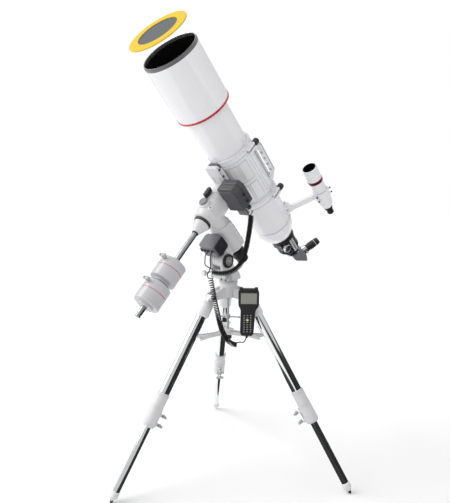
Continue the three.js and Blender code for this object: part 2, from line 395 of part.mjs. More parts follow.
// ---------- finder ----------
const FINDER = onTube(FINDER_ANGLE);
{
  const foot = box(-9, 9, 83, 104, -282, -240);
  const arm = hull(box(-6, 6, 102, 104, -278, -260), box(-6, 6, 206, 210, -268, -246));
  const ring = pipe(32, 27.3, -276, -238, 36).translate(0, FINDER_R, 0);
  add('finder_bracket', cut(union(foot, arm, ring), rod(27.3, -300, -200, 36).translate(0, FINDER_R, 0)), 'white', FINDER);
  add('finder_tube', lathe([[0, -370], [12.5, -370], [13.5, -366], [13.5, -342], [17, -339], [17, -330], [24, -318], [27, -300], [27, -192], [29, -188],
    [29, -121], [27.5, -120], [26, -120], [26, -150], [0, -152]], 36).translate(0, FINDER_R, 0), 'white', FINDER);
}
add('solar_filter', lathe([[0, FILTER_Z - 1], [75, FILTER_Z - 1], [75, FILTER_Z - 3], [FILTER_R - 1, FILTER_Z - 3], [FILTER_R, FILTER_Z - 2], [FILTER_R, FILTER_Z + 1], [FILTER_R - 1, FILTER_Z + 2],
  [75, FILTER_Z + 2], [75, FILTER_Z], [0, FILTER_Z]], 56), 'filter', TUBE);

// ---------- handset ----------
{
  // x across, y up, z towards the front face
  const outline = [[-38, 676], [-38, 730], [-31, 740], [31, 740], [38, 730], [38, 676], [31, 667], [25, 655], [20, 572], [15, 562], [-25, 562], [-30, 572], [-29, 655], [-32, 667]];
  const head = plate(outline.slice().reverse(), -13, 11);
  const body = cut(head, box(-23, 15, 572, 652, 7.5, 20));
  add('handset', body, 'black', HANDSET);
  add('handset_keys', box(-22.5, 14.5, 572.5, 651.5, 9, 12.5), 'dark', HANDSET);
}

// ---------- cords ----------
function cord(name, fat, thin, fatR, thinR, fatSteps, thinSteps) {
  const sweep = (points, r, steps, sides) => {
    const circle = new THREE.Shape(Array.from({ length: sides }, (_, i) => new THREE.Vector2(r * Math.cos((2 * Math.PI * i) / sides), r * Math.sin((2 * Math.PI * i) / sides))));
    return new THREE.ExtrudeGeometry(circle, { steps, bevelEnabled: false, extrudePath: new THREE.CatmullRomCurve3(points.map((p) => V(...p)), false, 'centripetal') });
  };
  add(name, union(sweep(fat, fatR, fatSteps, 8), ...thin.map((t) => sweep(t, thinR, thinSteps, 6))), 'black');
}
// the declination motor's cord: a plug, a coil hanging to the front of the base, and a straight lead up to its socket
cord('dec_cord',
  [[112.5, -9, 1026], [114.4, -10.6, 1007], [114.8, -15.6, 971], [113.8, -21.8, 935], [112.7, -28, 905], [109.6, -35, 876], [106, -43, 847],
    [98, -56, 824], [85, -73, 808], [66, -94, 799], [45, -114, 800], [29, -127, 806], [20, -132.5, 811]],
  [[[21, -132, 810], [13, -135, 813], [8, -136, 823], [4, -135.5, 845], [2.8, -132, 863], [3.7, -125, 871], [3.9, -122, 873.4]]], 8, 2, 30, 10);
// the handset's cord: a lead down from its socket, a hanging coil, and a short tail up into the handset
cord('handset_cord',
  [[8.4, -116, 790], [13.5, -111, 761], [19.4, -107, 724], [26, -103, 686], [32.4, -98.4, 652], [39, -94, 618], [48.4, -87, 580],
    [60.5, -77.3, 550], [74, -66.7, 532], [90, -53.7, 525], [103, -43.3, 530]],
  [[[24.6, -123, 873.4], [24.4, -125, 868], [23, -126, 857], [18, -121, 838], [12, -114, 815], [8.6, -115.5, 796], [8.8, -115.6, 786]],
    [[101, -45, 529], [108, -40, 532], [113, -35, 537], [116, -30, 546], [117, -26, 559.4]]], 8, 2, 30, 10);

// the part's own origin is the middle of its base, without the cords
const bounds = new THREE.Box3();
group.updateMatrixWorld(true);
for (const mesh of group.children) if (!mesh.name.endsWith('_cord')) bounds.union(new THREE.Box3().setFromObject(mesh, true));
group.position.set(-(bounds.min.x + bounds.max.x) / 2, -(bounds.min.y + bounds.max.y) / 2, -bounds.min.z);
group.updateMatrixWorld(true);

export default group;
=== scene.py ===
"""The looks of a refractor telescope on an equatorial mount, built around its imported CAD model.

Lengths inside a form are millimetres in the frame of that part. Finished pieces are in metres in the CAD
frame.
"""

import json
import math

import bmesh
import bpy
from mathutils import Matrix, Vector


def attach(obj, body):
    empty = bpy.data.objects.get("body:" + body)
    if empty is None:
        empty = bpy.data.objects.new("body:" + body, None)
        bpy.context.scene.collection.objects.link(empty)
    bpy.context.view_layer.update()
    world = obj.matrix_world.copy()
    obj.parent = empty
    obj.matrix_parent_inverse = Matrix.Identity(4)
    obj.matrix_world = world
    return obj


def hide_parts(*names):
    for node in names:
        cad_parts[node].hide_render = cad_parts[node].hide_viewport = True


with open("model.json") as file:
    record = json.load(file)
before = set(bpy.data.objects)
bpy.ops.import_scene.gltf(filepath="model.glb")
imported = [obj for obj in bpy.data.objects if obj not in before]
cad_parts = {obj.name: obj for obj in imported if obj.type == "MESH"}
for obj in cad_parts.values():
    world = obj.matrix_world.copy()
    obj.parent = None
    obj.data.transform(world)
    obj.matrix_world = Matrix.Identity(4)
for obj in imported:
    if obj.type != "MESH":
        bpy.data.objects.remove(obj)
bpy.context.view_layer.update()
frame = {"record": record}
JOINTS = {joint["name"]: joint for joint in frame["record"]["behaviour"]["joints"]}

MM = 0.001
SEGMENTS = 72
SHARP_ANGLE = 52


# ---------- frames ----------
def spin(degrees, axis):
    return Matrix.Rotation(math.radians(degrees), 4, axis)


def shift(x, y, z):
    return Matrix.Translation((x, y, z))


def basis(x, y, z, at=(0, 0, 0)):
    """The frame whose axes point along x, y and z and whose origin is at."""
    axes = Matrix([Vector(v).normalized() for v in (x, y, z)]).transposed().to_4x4()
    return Matrix.Translation(at) @ axes


BASE = Matrix.Translation((*JOINTS["rod_turn"]["pos_m"][:2], 0)) @ Matrix.Scale(MM, 4)
LATITUDE = 46
TUBE_UP = 225
POLAR = BASE @ shift(0, -105.8, 1020.85) @ spin(90 - LATITUDE, "X")
TUBE = POLAR @ shift(0, TUBE_UP, 0)
SHIFT_ANGLE, FOCUSER_TURN = 32, 13
FOCUSER = TUBE @ spin(-SHIFT_ANGLE, "Z") @ shift(0, 8, 0) @ spin(SHIFT_ANGLE - FOCUSER_TURN, "Z")
DRAW = TUBE @ spin(-SHIFT_ANGLE, "Z") @ shift(0, 14, 0)
FINDER_ANGLE, FINDER_UP = -55, 236
FINDER = TUBE @ spin(FINDER_ANGLE, "Z") @ shift(0, FINDER_UP, 0)
HANDSET = BASE @ basis((0.7315, 0.6817, 0), (0, 0, 1), (0.6817, -0.7315, 0), (121, -22, 0))
HERE = Matrix.Identity(4)
FLIPPED = Matrix.Scale(-1, 4, (0, 0, 1))
# a form's Z turned to X, to Y, and to -Y, which is the way of the weights
ALONG_X = spin(90, "Y")
ALONG_Y = spin(-90, "X")
ALONG_W = spin(90, "X")
# an outline's x, y and thickness turned to Y, Z, X; to X, Z, -Y; to X, -Z, Y; and to X, Z, Y
STAND = Matrix(((0, 0, 1, 0), (1, 0, 0, 0), (0, 1, 0, 0), (0, 0, 0, 1)))
FACING_FRONT = Matrix(((1, 0, 0, 0), (0, 0, -1, 0), (0, 1, 0, 0), (0, 0, 0, 1)))
FACING_BACK = Matrix(((1, 0, 0, 0), (0, 0, 1, 0), (0, -1, 0, 0), (0, 0, 0, 1)))
MIRRORED_BACK = Matrix(((1, 0, 0, 0), (0, 0, 1, 0), (0, 1, 0, 0), (0, 0, 0, 1)))

LEG_AZIMUTHS = {"left": -102.1, "right": 17.9, "rear": 137.9}
LEG_PIVOT_R, LEG_PIVOT_Z, LEG_FOOT_R = 82, 695, 504
LEG_LENGTH = math.hypot(LEG_FOOT_R - LEG_PIVOT_R, LEG_PIVOT_Z)


def leg_frame(azimuth):
    """+Z down the leg from its pivot, +X sideways, +Y outwards."""
    a = math.radians(azimuth)
    out = Vector((math.cos(a), math.sin(a), 0))
    side = Vector((-math.sin(a), math.cos(a), 0))
    down = (out * (LEG_FOOT_R - LEG_PIVOT_R) - Vector((0, 0, LEG_PIVOT_Z))).normalized()
    return BASE @ basis(side, down.cross(side), down, out * LEG_PIVOT_R + Vector((0, 0, LEG_PIVOT_Z)))


def place(name, data):
    """A new object in the scene."""
    made = bpy.data.objects.new(name, data)
    bpy.context.scene.collection.objects.link(made)
    return made


# ---------- camera ----------
CAMERA_LENS, CAMERA_SHIFT = 38.57, (0.0140, -0.0023)
CAMERA_AT = (1362.2, -1528.8, 1162.9)
CAMERA_RIGHT, CAMERA_UP = (0.7315, 0.68174, 0.01178), (-0.10606, 0.09671, 0.98965)


def make_camera():
    data = bpy.data.cameras.new("camera")
    data.sensor_width = 36
    data.lens = CAMERA_LENS
    data.shift_x, data.shift_y = CAMERA_SHIFT
    camera = place("camera", data)
    right, up = Vector(CAMERA_RIGHT), Vector(CAMERA_UP)
    turned = basis(right, up, right.cross(up))
    camera.matrix_world = Matrix.Translation(BASE @ Vector(CAMERA_AT)) @ turned
    bpy.context.scene.camera = camera


# ---------- materials ----------
def with_inputs(node, **values):
    """The node with inputs set by name, an underscore standing for a space."""
    for name, value in values.items():
        node.inputs[name.replace("_", " ")].default_value = value
    return node


def finish_of(name, color, rough, metal=0.0, vary=0.05, grain=500, bump=0.1, coat=0.0, turn=(0, 0, 0),
              stretch=(1, 1, 1), wear=None, specular=0.5):
    """A material with a broad colour drift, fine grain in bump and roughness, and edges of colour wear."""
    material = bpy.data.materials.new(name)
    material.use_nodes = True
    tree = material.node_tree
    link = tree.links.new
    shader = with_inputs(tree.nodes["Principled BSDF"], Metallic=metal, Coat_Weight=coat, Coat_Roughness=0.08,
                         Specular_IOR_Level=specular)

    def node(kind, **values):
        return with_inputs(tree.nodes.new("ShaderNode" + kind), **values)

    coords = node("TexCoord")
    turned = node("Mapping", Rotation=turn)
    scaled = node("Mapping", Scale=stretch)
    link(coords.outputs["Object"], turned.inputs["Vector"])
    link(turned.outputs["Vector"], scaled.inputs["Vector"])
    broad = node("TexNoise", Scale=grain / 30, Detail=3)
    fine = node("TexNoise", Scale=grain, Detail=2)
    for noise in (broad, fine):
        link(scaled.outputs["Vector"], noise.inputs["Vector"])
    drift = node("Mix")
    drift.data_type = "RGBA"
    drift.inputs[6].default_value = (*[c * (1 - vary) for c in color], 1)
    drift.inputs[7].default_value = (*[min(1, c * (1 + vary)) for c in color], 1)
    link(broad.outputs["Fac"], drift.inputs[0])
    paint = drift.outputs[2]
    if wear:
        edge = node("NewGeometry")
        ramp = node("MapRange", From_Min=0.54, From_Max=0.62)
        worn = node("Mix")
        worn.data_type = "RGBA"
        worn.inputs[7].default_value = (*wear, 1)
        link(edge.outputs["Pointiness"], ramp.inputs["Value"])
        link(ramp.outputs["Result"], worn.inputs[0])
        link(paint, worn.inputs[6])
        paint = worn.outputs[2]
    link(paint, shader.inputs["Base Color"])
    polish = node("MapRange", To_Min=rough * 0.85, To_Max=min(1, rough * 1.2))
    link(fine.outputs["Fac"], polish.inputs["Value"])
    link(polish.outputs["Result"], shader.inputs["Roughness"])
    relief = node("Bump", Strength=bump, Distance=0.0004)
    link(fine.outputs["Fac"], relief.inputs["Height"])
    link(relief.outputs["Normal"], shader.inputs["Normal"])
    return material


def turn_to_z(direction):
    """The rotation of a grain that runs along direction."""
    return tuple(Vector(direction).rotation_difference(Vector((0, 0, 1))).to_euler())


DEC_AXIS = (POLAR @ Vector((0, -1, 0)) - POLAR @ Vector((0, 0, 0))).normalized()
LONG = (1, 1, 0.03)  # the stretch of a grain brushed along Z
WHITE = finish_of("tube_white", (0.84, 0.84, 0.865), 0.2, vary=0.012, grain=320, bump=0.03, coat=0.5)
CAST = finish_of("mount_white", (0.66, 0.66, 0.67), 0.38, vary=0.04, grain=900, bump=0.16, coat=0.15,
                 wear=(0.78, 0.78, 0.79))
SILVER = finish_of("tripod_white", (0.74, 0.74, 0.75), 0.4, vary=0.05, grain=700, bump=0.2, coat=0.1)
# the weights' white paint, made greyer than the tube's white: painted shade
WEIGHT_PAINTED_SHADE = finish_of("weight_white_painted_shade", (0.53, 0.53, 0.55), 0.3, vary=0.03, grain=520, bump=0.12, coat=0.3)
GREY = finish_of("grey_cast", (0.44, 0.45, 0.46), 0.42, vary=0.07, grain=800, bump=0.2)
# the shaft's steel, its colour darker than the bright steel: painted dark reflection
STEEL_PAINTED_DARK_REFLECTION = finish_of("steel", (0.40, 0.41, 0.42), 0.22, metal=1, vary=0.06, grain=900, bump=0.05,
                  turn=turn_to_z(DEC_AXIS), stretch=LONG)
BRIGHT = finish_of("bright_steel", (0.72, 0.73, 0.74), 0.25, metal=1, vary=0.08, grain=1200, bump=0.08)
DARK = finish_of("motor_grey", (0.062, 0.060, 0.068), 0.42, vary=0.12, grain=1500, bump=0.25,
                 wear=(0.17, 0.17, 0.18))
PURPLE = finish_of("motor_mauve", (0.16, 0.155, 0.17), 0.4, vary=0.1, grain=1500, bump=0.22,
                   wear=(0.25, 0.25, 0.26))
BLACK = finish_of("black_plastic", (0.018, 0.018, 0.02), 0.36, vary=0.2, grain=1300, bump=0.2,
                  wear=(0.06, 0.06, 0.065))
ANODISED = finish_of("black_anodised", (0.022, 0.022, 0.025), 0.3, metal=0.3, vary=0.2, grain=1600, bump=0.1,
                     wear=(0.12, 0.12, 0.125))
FLOCK = finish_of("matt_black", (0.006, 0.006, 0.007), 0.85, vary=0.3, grain=1400, bump=0.3, specular=0.15)
RIM = finish_of("rim_grey", (0.13, 0.13, 0.14), 0.3, vary=0.08, grain=900, bump=0.08, coat=0.3)
RED = finish_of("red_paint", (0.55, 0.008, 0.03), 0.25, vary=0.08, grain=700, bump=0.05, coat=0.4)
WINE = finish_of("red_ring", (0.09, 0.006, 0.014), 0.3, vary=0.15, grain=700, bump=0.05, coat=0.4)
RUBBER = finish_of("cord_rubber", (0.011, 0.011, 0.012), 0.55, vary=0.2, grain=1100, bump=0.15, specular=0.3)
LENS = finish_of("lens", (0.02, 0.035, 0.05), 0.05, vary=0.2, grain=60, bump=0.01, coat=1.0, specular=0.9)
YELLOW = finish_of("filter_card", (0.74, 0.50, 0.006), 0.6, vary=0.09, grain=380, bump=0.35)
FILM = finish_of("filter_film", (0.085, 0.10, 0.11), 0.28, metal=0.35, vary=0.1, grain=160, bump=0.25)
SCREEN = finish_of("screen", (0.27, 0.28, 0.235), 0.25, vary=0.06, grain=700, bump=0.03, coat=0.3)
CAP = finish_of("cap_grey", (0.24, 0.24, 0.25), 0.35, vary=0.06, grain=900, bump=0.1)
KEY = finish_of("key_dark", (0.035, 0.036, 0.05), 0.45, vary=0.15, grain=1500, bump=0.15)
MARK = finish_of("mark_pale", (0.62, 0.62, 0.62), 0.5, vary=0.05, grain=900, bump=0.05)
LIT = finish_of("key_lit", (0.85, 0.80, 0.12), 0.4, vary=0.05, grain=900, bump=0.05)
CHROME = {
    leg: finish_of(f"chrome_{leg}", (0.86, 0.87, 0.88), 0.09, metal=1, vary=0.03, grain=700, bump=0.015,
                   turn=turn_to_z(leg_frame(azimuth).col[2].xyz), stretch=LONG)
    for leg, azimuth in LEG_AZIMUTHS.items()
}


# ---------- forms ----------
def rounded(points, radius):
    """A profile or outline with each clear corner replaced by a short arc."""
    closed = points[0] == points[-1]
    ring = [Vector(p) for p in (points[:-1] if closed else points)]
    out, count = [], len(ring)
    for i, p in enumerate(ring):
        if not closed and i in (0, count - 1):
            out.append(tuple(p))
            continue
        a, b = ring[i - 1] - p, ring[(i + 1) % count] - p
        reach = min(radius, 0.42 * a.length, 0.42 * b.length)
        if reach < 0.05 or abs(a.angle(b) - math.pi) < 0.3:
            out.append(tuple(p))
            continue
        start, end = p + a.normalized() * reach, p + b.normalized() * reach
        for t in (0, 0.33, 0.67, 1):
            out.append(tuple(start * (1 - t) ** 2 + p * 2 * t * (1 - t) + end * t ** 2))
    if closed:
        out.append(out[0])
    return out


def softened(outline, radius):
    """An outline with its corners rounded."""
    return rounded(outline + outline[:1], radius)[:-1]


def arc(x, y, r, start, end, steps=10):
    angles = [math.radians(start + (end - start) * i / steps) for i in range(steps + 1)]
    return [(x + r * math.cos(a), y + r * math.sin(a)) for a in angles]


def across(side, near, far):
    """The span from near to far on one side, side being 1 or -1."""
    return sorted((side * near, side * far))


class Form:
    """A mesh made of several closed shapes, in millimetres, each with its own material."""

    def __init__(self):
        self.mesh = bmesh.new()
        self.materials = []

    def _take(self, part, material, at):
        """Adds a bmesh of one shape."""
        bmesh.ops.recalc_face_normals(part, faces=part.faces)
        if material not in self.materials:
            self.materials.append(material)
        for face in part.faces:
            face.material_index = self.materials.index(material)
            face.smooth = True
        part.transform(at)
        made = bpy.data.meshes.new("part")
        part.to_mesh(made)
        part.free()
        self.mesh.from_mesh(made)
        bpy.data.meshes.remove(made)
        return self

    def lathe(self, profile, material, at=HERE, segments=SEGMENTS, edge=1.0, flutes=0, depth=0.0):
        """A profile of (radius, height) points turned about Z. Flutes cut grips into its widest rings."""
        part = bmesh.new()
        points = rounded(profile, edge) if edge else profile
        closed = points[0] == points[-1]
        widest = max(r for r, _ in points)
        rings = []
        for r, z in points[:-1] if closed else points:
            if r < 1e-6:
                rings.append([part.verts.new((0, 0, z))] * segments)
                continue
            ring = []
            for i in range(segments):
                angle = 2 * math.pi * i / segments
                grip = depth * (0.5 - 0.5 * math.cos(flutes * angle)) if flutes and r > widest - 2.2 else 0
                ring.append(part.verts.new(((r - grip) * math.cos(angle), (r - grip) * math.sin(angle), z)))
            rings.append(ring)
        pairs = list(zip(rings, rings[1:]))
        if closed:
            pairs.append((rings[-1], rings[0]))
        for low, high in pairs:
            for i in range(segments):
                j = (i + 1) % segments
                corners = []
                for v in (low[i], low[j], high[j], high[i]):
                    if v not in corners:
                        corners.append(v)
                if len(corners) > 2:
                    part.faces.new(corners)
        return self._take(part, material, at)

    def ring(self, inner, outer, z0, z1, material, at=HERE, **looks):
        """A square-edged ring about Z."""
        profile = [(inner, z0), (outer, z0), (outer, z1), (inner, z1), (inner, z0)]
        return self.lathe(profile, material, at, **looks)

    def rod(self, r, z0, z1, material, at=HERE, segments=40, edge=0.6):
        return self.lathe([(0, z0), (r, z0), (r, z1), (0, z1)], material, at, segments, edge)

    def plate(self, outline, z0, z1, material, at=HERE, holes=(), edge=0.8, steps=2):
        """An outline of (x, y) points with holes, extruded along Z."""
        part = bmesh.new()
        for loop in (outline, *holes):
            ring = [part.verts.new((x, y, z0)) for x, y in loop]
            for i, v in enumerate(ring):
                part.edges.new((v, ring[(i + 1) % len(ring)]))
        bmesh.ops.triangle_fill(part, use_beauty=True, edges=part.edges[:])
        grown = bmesh.ops.extrude_face_region(part, geom=part.faces[:])
        top = [v for v in grown["geom"] if isinstance(v, bmesh.types.BMVert)]
        bmesh.ops.translate(part, verts=top, vec=(0, 0, z1 - z0))
        bmesh.ops.recalc_face_normals(part, faces=part.faces)
        sharp = [e for e in part.edges if e.is_manifold and e.calc_face_angle(0) > 0.5]
        if edge and sharp:
            bmesh.ops.bevel(part, geom=sharp, offset=edge, segments=steps, profile=0.6, affect="EDGES",
                            clamp_overlap=True)
        return self._take(part, material, at)

    def block(self, x, y, z, material, at=HERE, edge=0.8, steps=2):
        corners = [(x[0], y[0]), (x[1], y[0]), (x[1], y[1]), (x[0], y[1])]
        return self.plate(corners, z[0], z[1], material, at, edge=edge, steps=steps)

    def piece(self, name, body, at, *nodes, slot=None):
        """The finished piece: it rides on a body and stands for CAD nodes."""
        self.mesh.transform(at)
        data = bpy.data.meshes.new(name)
        self.mesh.to_mesh(data)
        self.mesh.free()
        for material in self.materials:
            data.materials.append(material)
        data.set_sharp_from_angle(angle=math.radians(SHARP_ANGLE))
        made = place(name, data)
        made.modifiers.new("face_normals", "WEIGHTED_NORMAL").keep_sharp = True
        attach(made, body)
        if nodes:
            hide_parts(*nodes)
        return made


# ---------- cords ----------
COIL_R, WIRE_R = 8.4, 1.95
TURN_POINTS, UNWIND = 14, 22
# the spacing of points on the curve that is wound round, and on a straight lead
FINE_STEP, LEAD_STEP = 0.25, 2.5


def along(points, step):
    """Points a fixed step apart on a smooth curve through the given ones, and its last point."""
    ring = [Vector(p) for p in points]
    fine = []
    for i in range(len(ring) - 1):
        a, b, c, d = (ring[max(i - 1, 0)], ring[i], ring[i + 1], ring[min(i + 2, len(ring) - 1)])
        for k in range(40):
            t = k / 40
            fine.append(0.5 * (2 * b + (c - a) * t + (2 * a - 5 * b + 4 * c - d) * t ** 2
                               + (3 * b - a - 3 * c + d) * t ** 3))
    fine.append(ring[-1])
    out, spare = [fine[0]], 0.0
    for a, b in zip(fine, fine[1:]):
        length = (b - a).length
        while spare + length >= step:
            a = a + (b - a) * ((step - spare) / length)
            length = (b - a).length
            spare = 0.0
            out.append(a.copy())
        spare += length
    if spare < 0.5 * step:
        out.pop()
    return out + [ring[-1]]


def coil(points, first, last):
    """A wire wound round a smooth curve, its pitch going from first to last, and straight at both ends."""
    line = along(points, FINE_STEP)
    whole = FINE_STEP * (len(line) - 1)
    turn = 2 * math.pi * COIL_R
    step = turn / TURN_POINTS
    up, down = [[math.atan2(turn, pitch) * (k * step / UNWIND) for k in range(int(UNWIND / step))]
                for pitch in (first, last)]
    middle = whole - sum(math.cos(a) * step for a in up + down)
    # the pitch reaches its last value five eighths of the way along
    slopes, done = up, 0.0
    while done < middle:
        slopes.append(math.atan2(turn, first + (last - first) * min(1.0, 1.6 * done / middle)))
        done += math.cos(slopes[-1]) * step
    slopes += down[::-1]
    total = sum(math.cos(a) for a in slopes)
    normal = (line[1] - line[0]).orthogonal().normalized()
    out, gone, angle, reached = [], 0.0, 0.0, 0
    for slope in slopes + [0]:
        here = min(len(line) - 1, round(gone / total * (len(line) - 1)))
        # the normal is carried along the curve, so it turns with the curve and never twists
        for i in range(reached, here + 1):
            way = (line[min(i + 1, len(line) - 1)] - line[max(i - 1, 0)]).normalized()
            normal = (normal - way * normal.dot(way)).normalized()
        reached = here
        side = way.cross(normal)
        out.append(line[here] + COIL_R * (math.cos(angle) * normal + math.sin(angle) * side))
        gone += math.cos(slope)
        angle += math.sin(slope) * step / COIL_R
    return out


def make_cord(name, body, route, node):
    """One wire through the whole route, in millimetres of the base frame."""
    points = [BASE @ p for p in route]
    data = bpy.data.curves.new(name, "CURVE")
    data.dimensions = "3D"
    data.bevel_depth = WIRE_R * MM
    data.bevel_resolution = 2
    data.use_fill_caps = True
    spline = data.splines.new("POLY")
    spline.points.add(len(points) - 1)
    for target, p in zip(spline.points, points):
        target.co = (*p, 1)
    spline.use_smooth = True
    data.materials.append(RUBBER)
    made = place(name, data)
    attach(made, body)
    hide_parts(node)


def make_cords():
    lead = [(3.9, -122, 873.4), (3.7, -125, 871), (2.8, -132, 863), (4, -135.5, 845), (7, -136.5, 828)]
    dec = [(20, -132.5, 811), (29, -127, 806), (45, -114, 800), (66, -94, 799), (85, -73, 808),
           (98, -56, 824), (106, -43, 847), (109.6, -35, 876), (112.7, -28, 905), (113.8, -21.8, 935),
           (114.8, -15.6, 971), (114.4, -10.6, 1007), (112.5, -9, 1026)]
    wound = coil(dec, 6.6, 4.6)
    make_cord("declination_cord", "polar", along(lead + [wound[0]], LEAD_STEP) + wound[1:], "dec_cord")
    lead = [(24.6, -123, 873.4), (24.4, -125, 868), (23, -126, 857), (18, -121, 838), (12, -115, 815)]
    hand = [(8.4, -116, 790), (13.5, -111, 761), (19.4, -107, 724), (26, -103, 686), (32.4, -98.4, 652),
            (39, -94, 618), (48.4, -87, 580), (60.5, -77.3, 550), (74, -66.7, 532), (90, -53.7, 525),
            (103, -43.3, 530)]
    wound = coil(hand, 9.5, 4.6)
    tail = [wound[-1], (112, -36, 536), (115.5, -30, 546), (117, -26, 559.4)]
    route = along(lead + [wound[0]], LEAD_STEP) + wound[1:-1] + along(tail, LEAD_STEP)
    make_cord("handset_cord_wire", "tripod", route, "handset_cord")


# ---------- tripod ----------
def knob(form, r, z0, z1, material, at=HERE, flutes=12, depth=1.2):
    form.lathe([(0, z0), (r - 2, z0), (r, z0 + 2), (r, z1 - 2), (r - 2, z1), (0, z1)], material, at,
               segments=flutes * 6, flutes=flutes, depth=depth, edge=0.8)


def make_hub():
    form = Form()
    form.lathe([(5.2, 688), (34, 688), (36, 690), (36, 740), (33, 743), (5.2, 743), (5.2, 688)], SILVER,
               edge=2.5)
    form.ring(33.5, 36.5, 694, 697, SILVER, edge=0.6)
    for azimuth in LEG_AZIMUTHS.values():
        turned = spin(azimuth, "Z")
        outline = [(24, 689), (24, 728), (38, 728)] + arc(82, 695, 14, 75, -95, 14)
        lying = turned @ FACING_FRONT
        for a, b in ((-20.5, -13), (13, 20.5)):
            form.plate(outline, -b, -a, SILVER, lying, edge=1.2)
    arm = spin(-5.7, "Z")
    form.block((30, 104), (-5, 5), (722.4, 725), SILVER, arm)
    form.rod(4.5, 725, 728, BRIGHT, arm @ shift(44, 0, 0))
    form.block((-8, 8), (700, 728), (-17.5, -14.5), SILVER, BASE.inverted() @ HANDSET)
    form.piece("hub", "tripod", BASE, "tripod_hub")


def make_rod():
    form = Form()
    form.lathe([(0, 514), (4.5, 514), (4.5, 600), (6, 600), (9, 600), (9, 614), (6, 616), (4.5, 616),
                (4.5, 733), (0, 733)], GREY, segments=32)
    form.ring(4.6, 12, 680, 687.7, GREY, segments=36)
    bar = spin(33, "Z") @ shift(0, 0, 607) @ ALONG_X
    form.lathe([(0, -48), (4.2, -47), (4.2, -40), (3, -38), (3, 38), (4.2, 40), (4.2, 47), (0, 48)], BRIGHT,
               bar, segments=24)
    form.piece("clamping_rod", "rod", BASE, "centre_rod")


def make_spreader():
    form = Form()
    low, high = 539, 551
    form.lathe([(5, low), (24, low), (24, high + 6), (20, high + 8), (5, high + 8), (5, low)], SILVER,
               edge=2)
    for azimuth in LEG_AZIMUTHS.values():
        at = spin(azimuth, "Z")
        outline = [(16, -18), (60, -12), (100, -15), (137.5, -27), (144, -24)]
        outline += arc(158, 0, 26.5, 240, 120, 8)
        outline += [(144, 24), (137.5, 27), (100, 15), (60, 12), (16, 18)]
        hole = arc(48, 0, 7, 90, 270, 8) + arc(84, 0, 7, -90, 90, 8)
        form.plate(outline, low, high - 4, SILVER, at, holes=[hole], edge=1.2)
        for side in (-1, 1):
            rim = [(22, side * 13), (60, side * 8.6), (100, side * 10.8), (132, side * 21), (134, side * 25),
                   (100, side * 14.6), (60, side * 11.6), (22, side * 17)]
            form.plate(rim, high - 5, high, SILVER, at, edge=1)
    form.piece("leg_spreader", "spreader_body", BASE, "spreader")
    nut = Form()
    nut.lathe([(5.1, 518), (13, 518), (16, 522), (16, 533), (12, 538.6), (5.1, 538.6), (5.1, 518)], BLACK,
              segments=72, flutes=12, depth=1.4)
    nut.piece("spreader_clamp_nut", "spreader_nut_body", BASE, "spreader_nut")


def wing_screw(form, at):
    form.rod(3, -8, 14, BRIGHT, at, segments=24)
    form.lathe([(0, 13), (5, 13), (6.2, 18), (6, 25), (0, 26)], GREY, at, segments=32)
    outline = [(-5, 15), (-13, 16.5)] + arc(-12, 22, 4.5, 250, 90, 8) + [(-5, 22.5), (5, 22.5)]
    outline += arc(12, 22, 4.5, 90, -70, 8) + [(5, 15)]
    form.plate(outline, -4, 4, GREY, at @ ALONG_W @ FLIPPED, edge=1.8)


def make_leg(leg, azimuth):
    at = leg_frame(azimuth)
    top = Form()
    top.lathe([(20.2, 56), (20.2, 81), (23.5, 81), (25.5, 74), (25.5, 34), (20, 22), (0, 22), (0, 55),
               (20.2, 56)], SILVER, edge=2)
    tongue = arc(0, 0, 13.5, 200, -20, 16) + [(12, 30), (-12, 30)]
    top.plate(tongue, -12.4, 12.4, SILVER, STAND, edge=1.5)
    top.rod(5, -20.5, 20.5, BRIGHT, ALONG_X)
    for side in (-1, 1):
        top.lathe([(0, 20.6), (8, 20.6), (8, 24.5), (6.5, 26), (0, 26)], BRIGHT,
                  ALONG_X @ Matrix.Scale(side, 4, (0, 0, 1)), segments=36)
    top.ring(24.5, 26, 70, 75, SILVER, edge=0.5)
    top.piece(f"{leg}_leg_casting", f"{leg}_leg", at, f"{leg}_leg_top")
    tube = Form()
    tube.ring(17.7, 20, 56.3, 440, CHROME[leg], segments=96, edge=0.4)
    tube.piece(f"{leg}_upper_tube", f"{leg}_leg", at, f"{leg}_leg_tube")
    clamp = Form()
    clamp.lathe([(20.2, 392), (22.6, 392), (23.2, 396), (23.2, 450), (24.4, 456), (24.4, 512), (21.5, 522),
                 (13.4, 524), (13.4, 516), (17.6, 514), (17.6, 442), (20.2, 440.6), (20.2, 392)], CAST,
                edge=1.6)
    for z in (398, 446, 512):
        clamp.ring(22, 25, z, z + 3, CAST, edge=0.8)
    for z in (472, 508):
        clamp.ring(3.2, 8, 20, 31, CAST, shift(0, 0, z) @ ALONG_W, segments=32)
    clamp.block((-1.2, 1.2), (-31, -20), (458, 516), GREY, edge=0.5)
    wing_screw(clamp, shift(0, -26.1, 508) @ spin(90, "X"))
    clamp.piece(f"{leg}_clamp", f"{leg}_leg", at, f"{leg}_leg_clamp")
    inner = Form()
    inner.ring(10.6, 13, 424, 772, CHROME[leg], segments=96, edge=0.4)
    inner.lathe([(0, 768), (13, 768), (15.5, 773), (15.5, 789), (10.5, 795), (7.5, 800), (0, 800)], SILVER,
                edge=1.5)
    inner.lathe([(0, 798), (6.5, 798), (6, 806), (1.2, LEG_LENGTH - 0.6), (0, LEG_LENGTH)], BRIGHT,
                segments=32, edge=0.8)
    inner.piece(f"{leg}_lower_tube", f"{leg}_lower", at, f"{leg}_leg_inner")
    wing = Form()
    wing_screw(wing, HERE)
    seat = spin(90, "X")
    wing.piece(f"{leg}_wing_screw", f"{leg}_screw", at @ shift(0, -26.1, 472) @ seat, f"{leg}_leg_screw")


# ---------- mount ----------
PIVOT_Y, PIVOT_Z = -46.2, 836


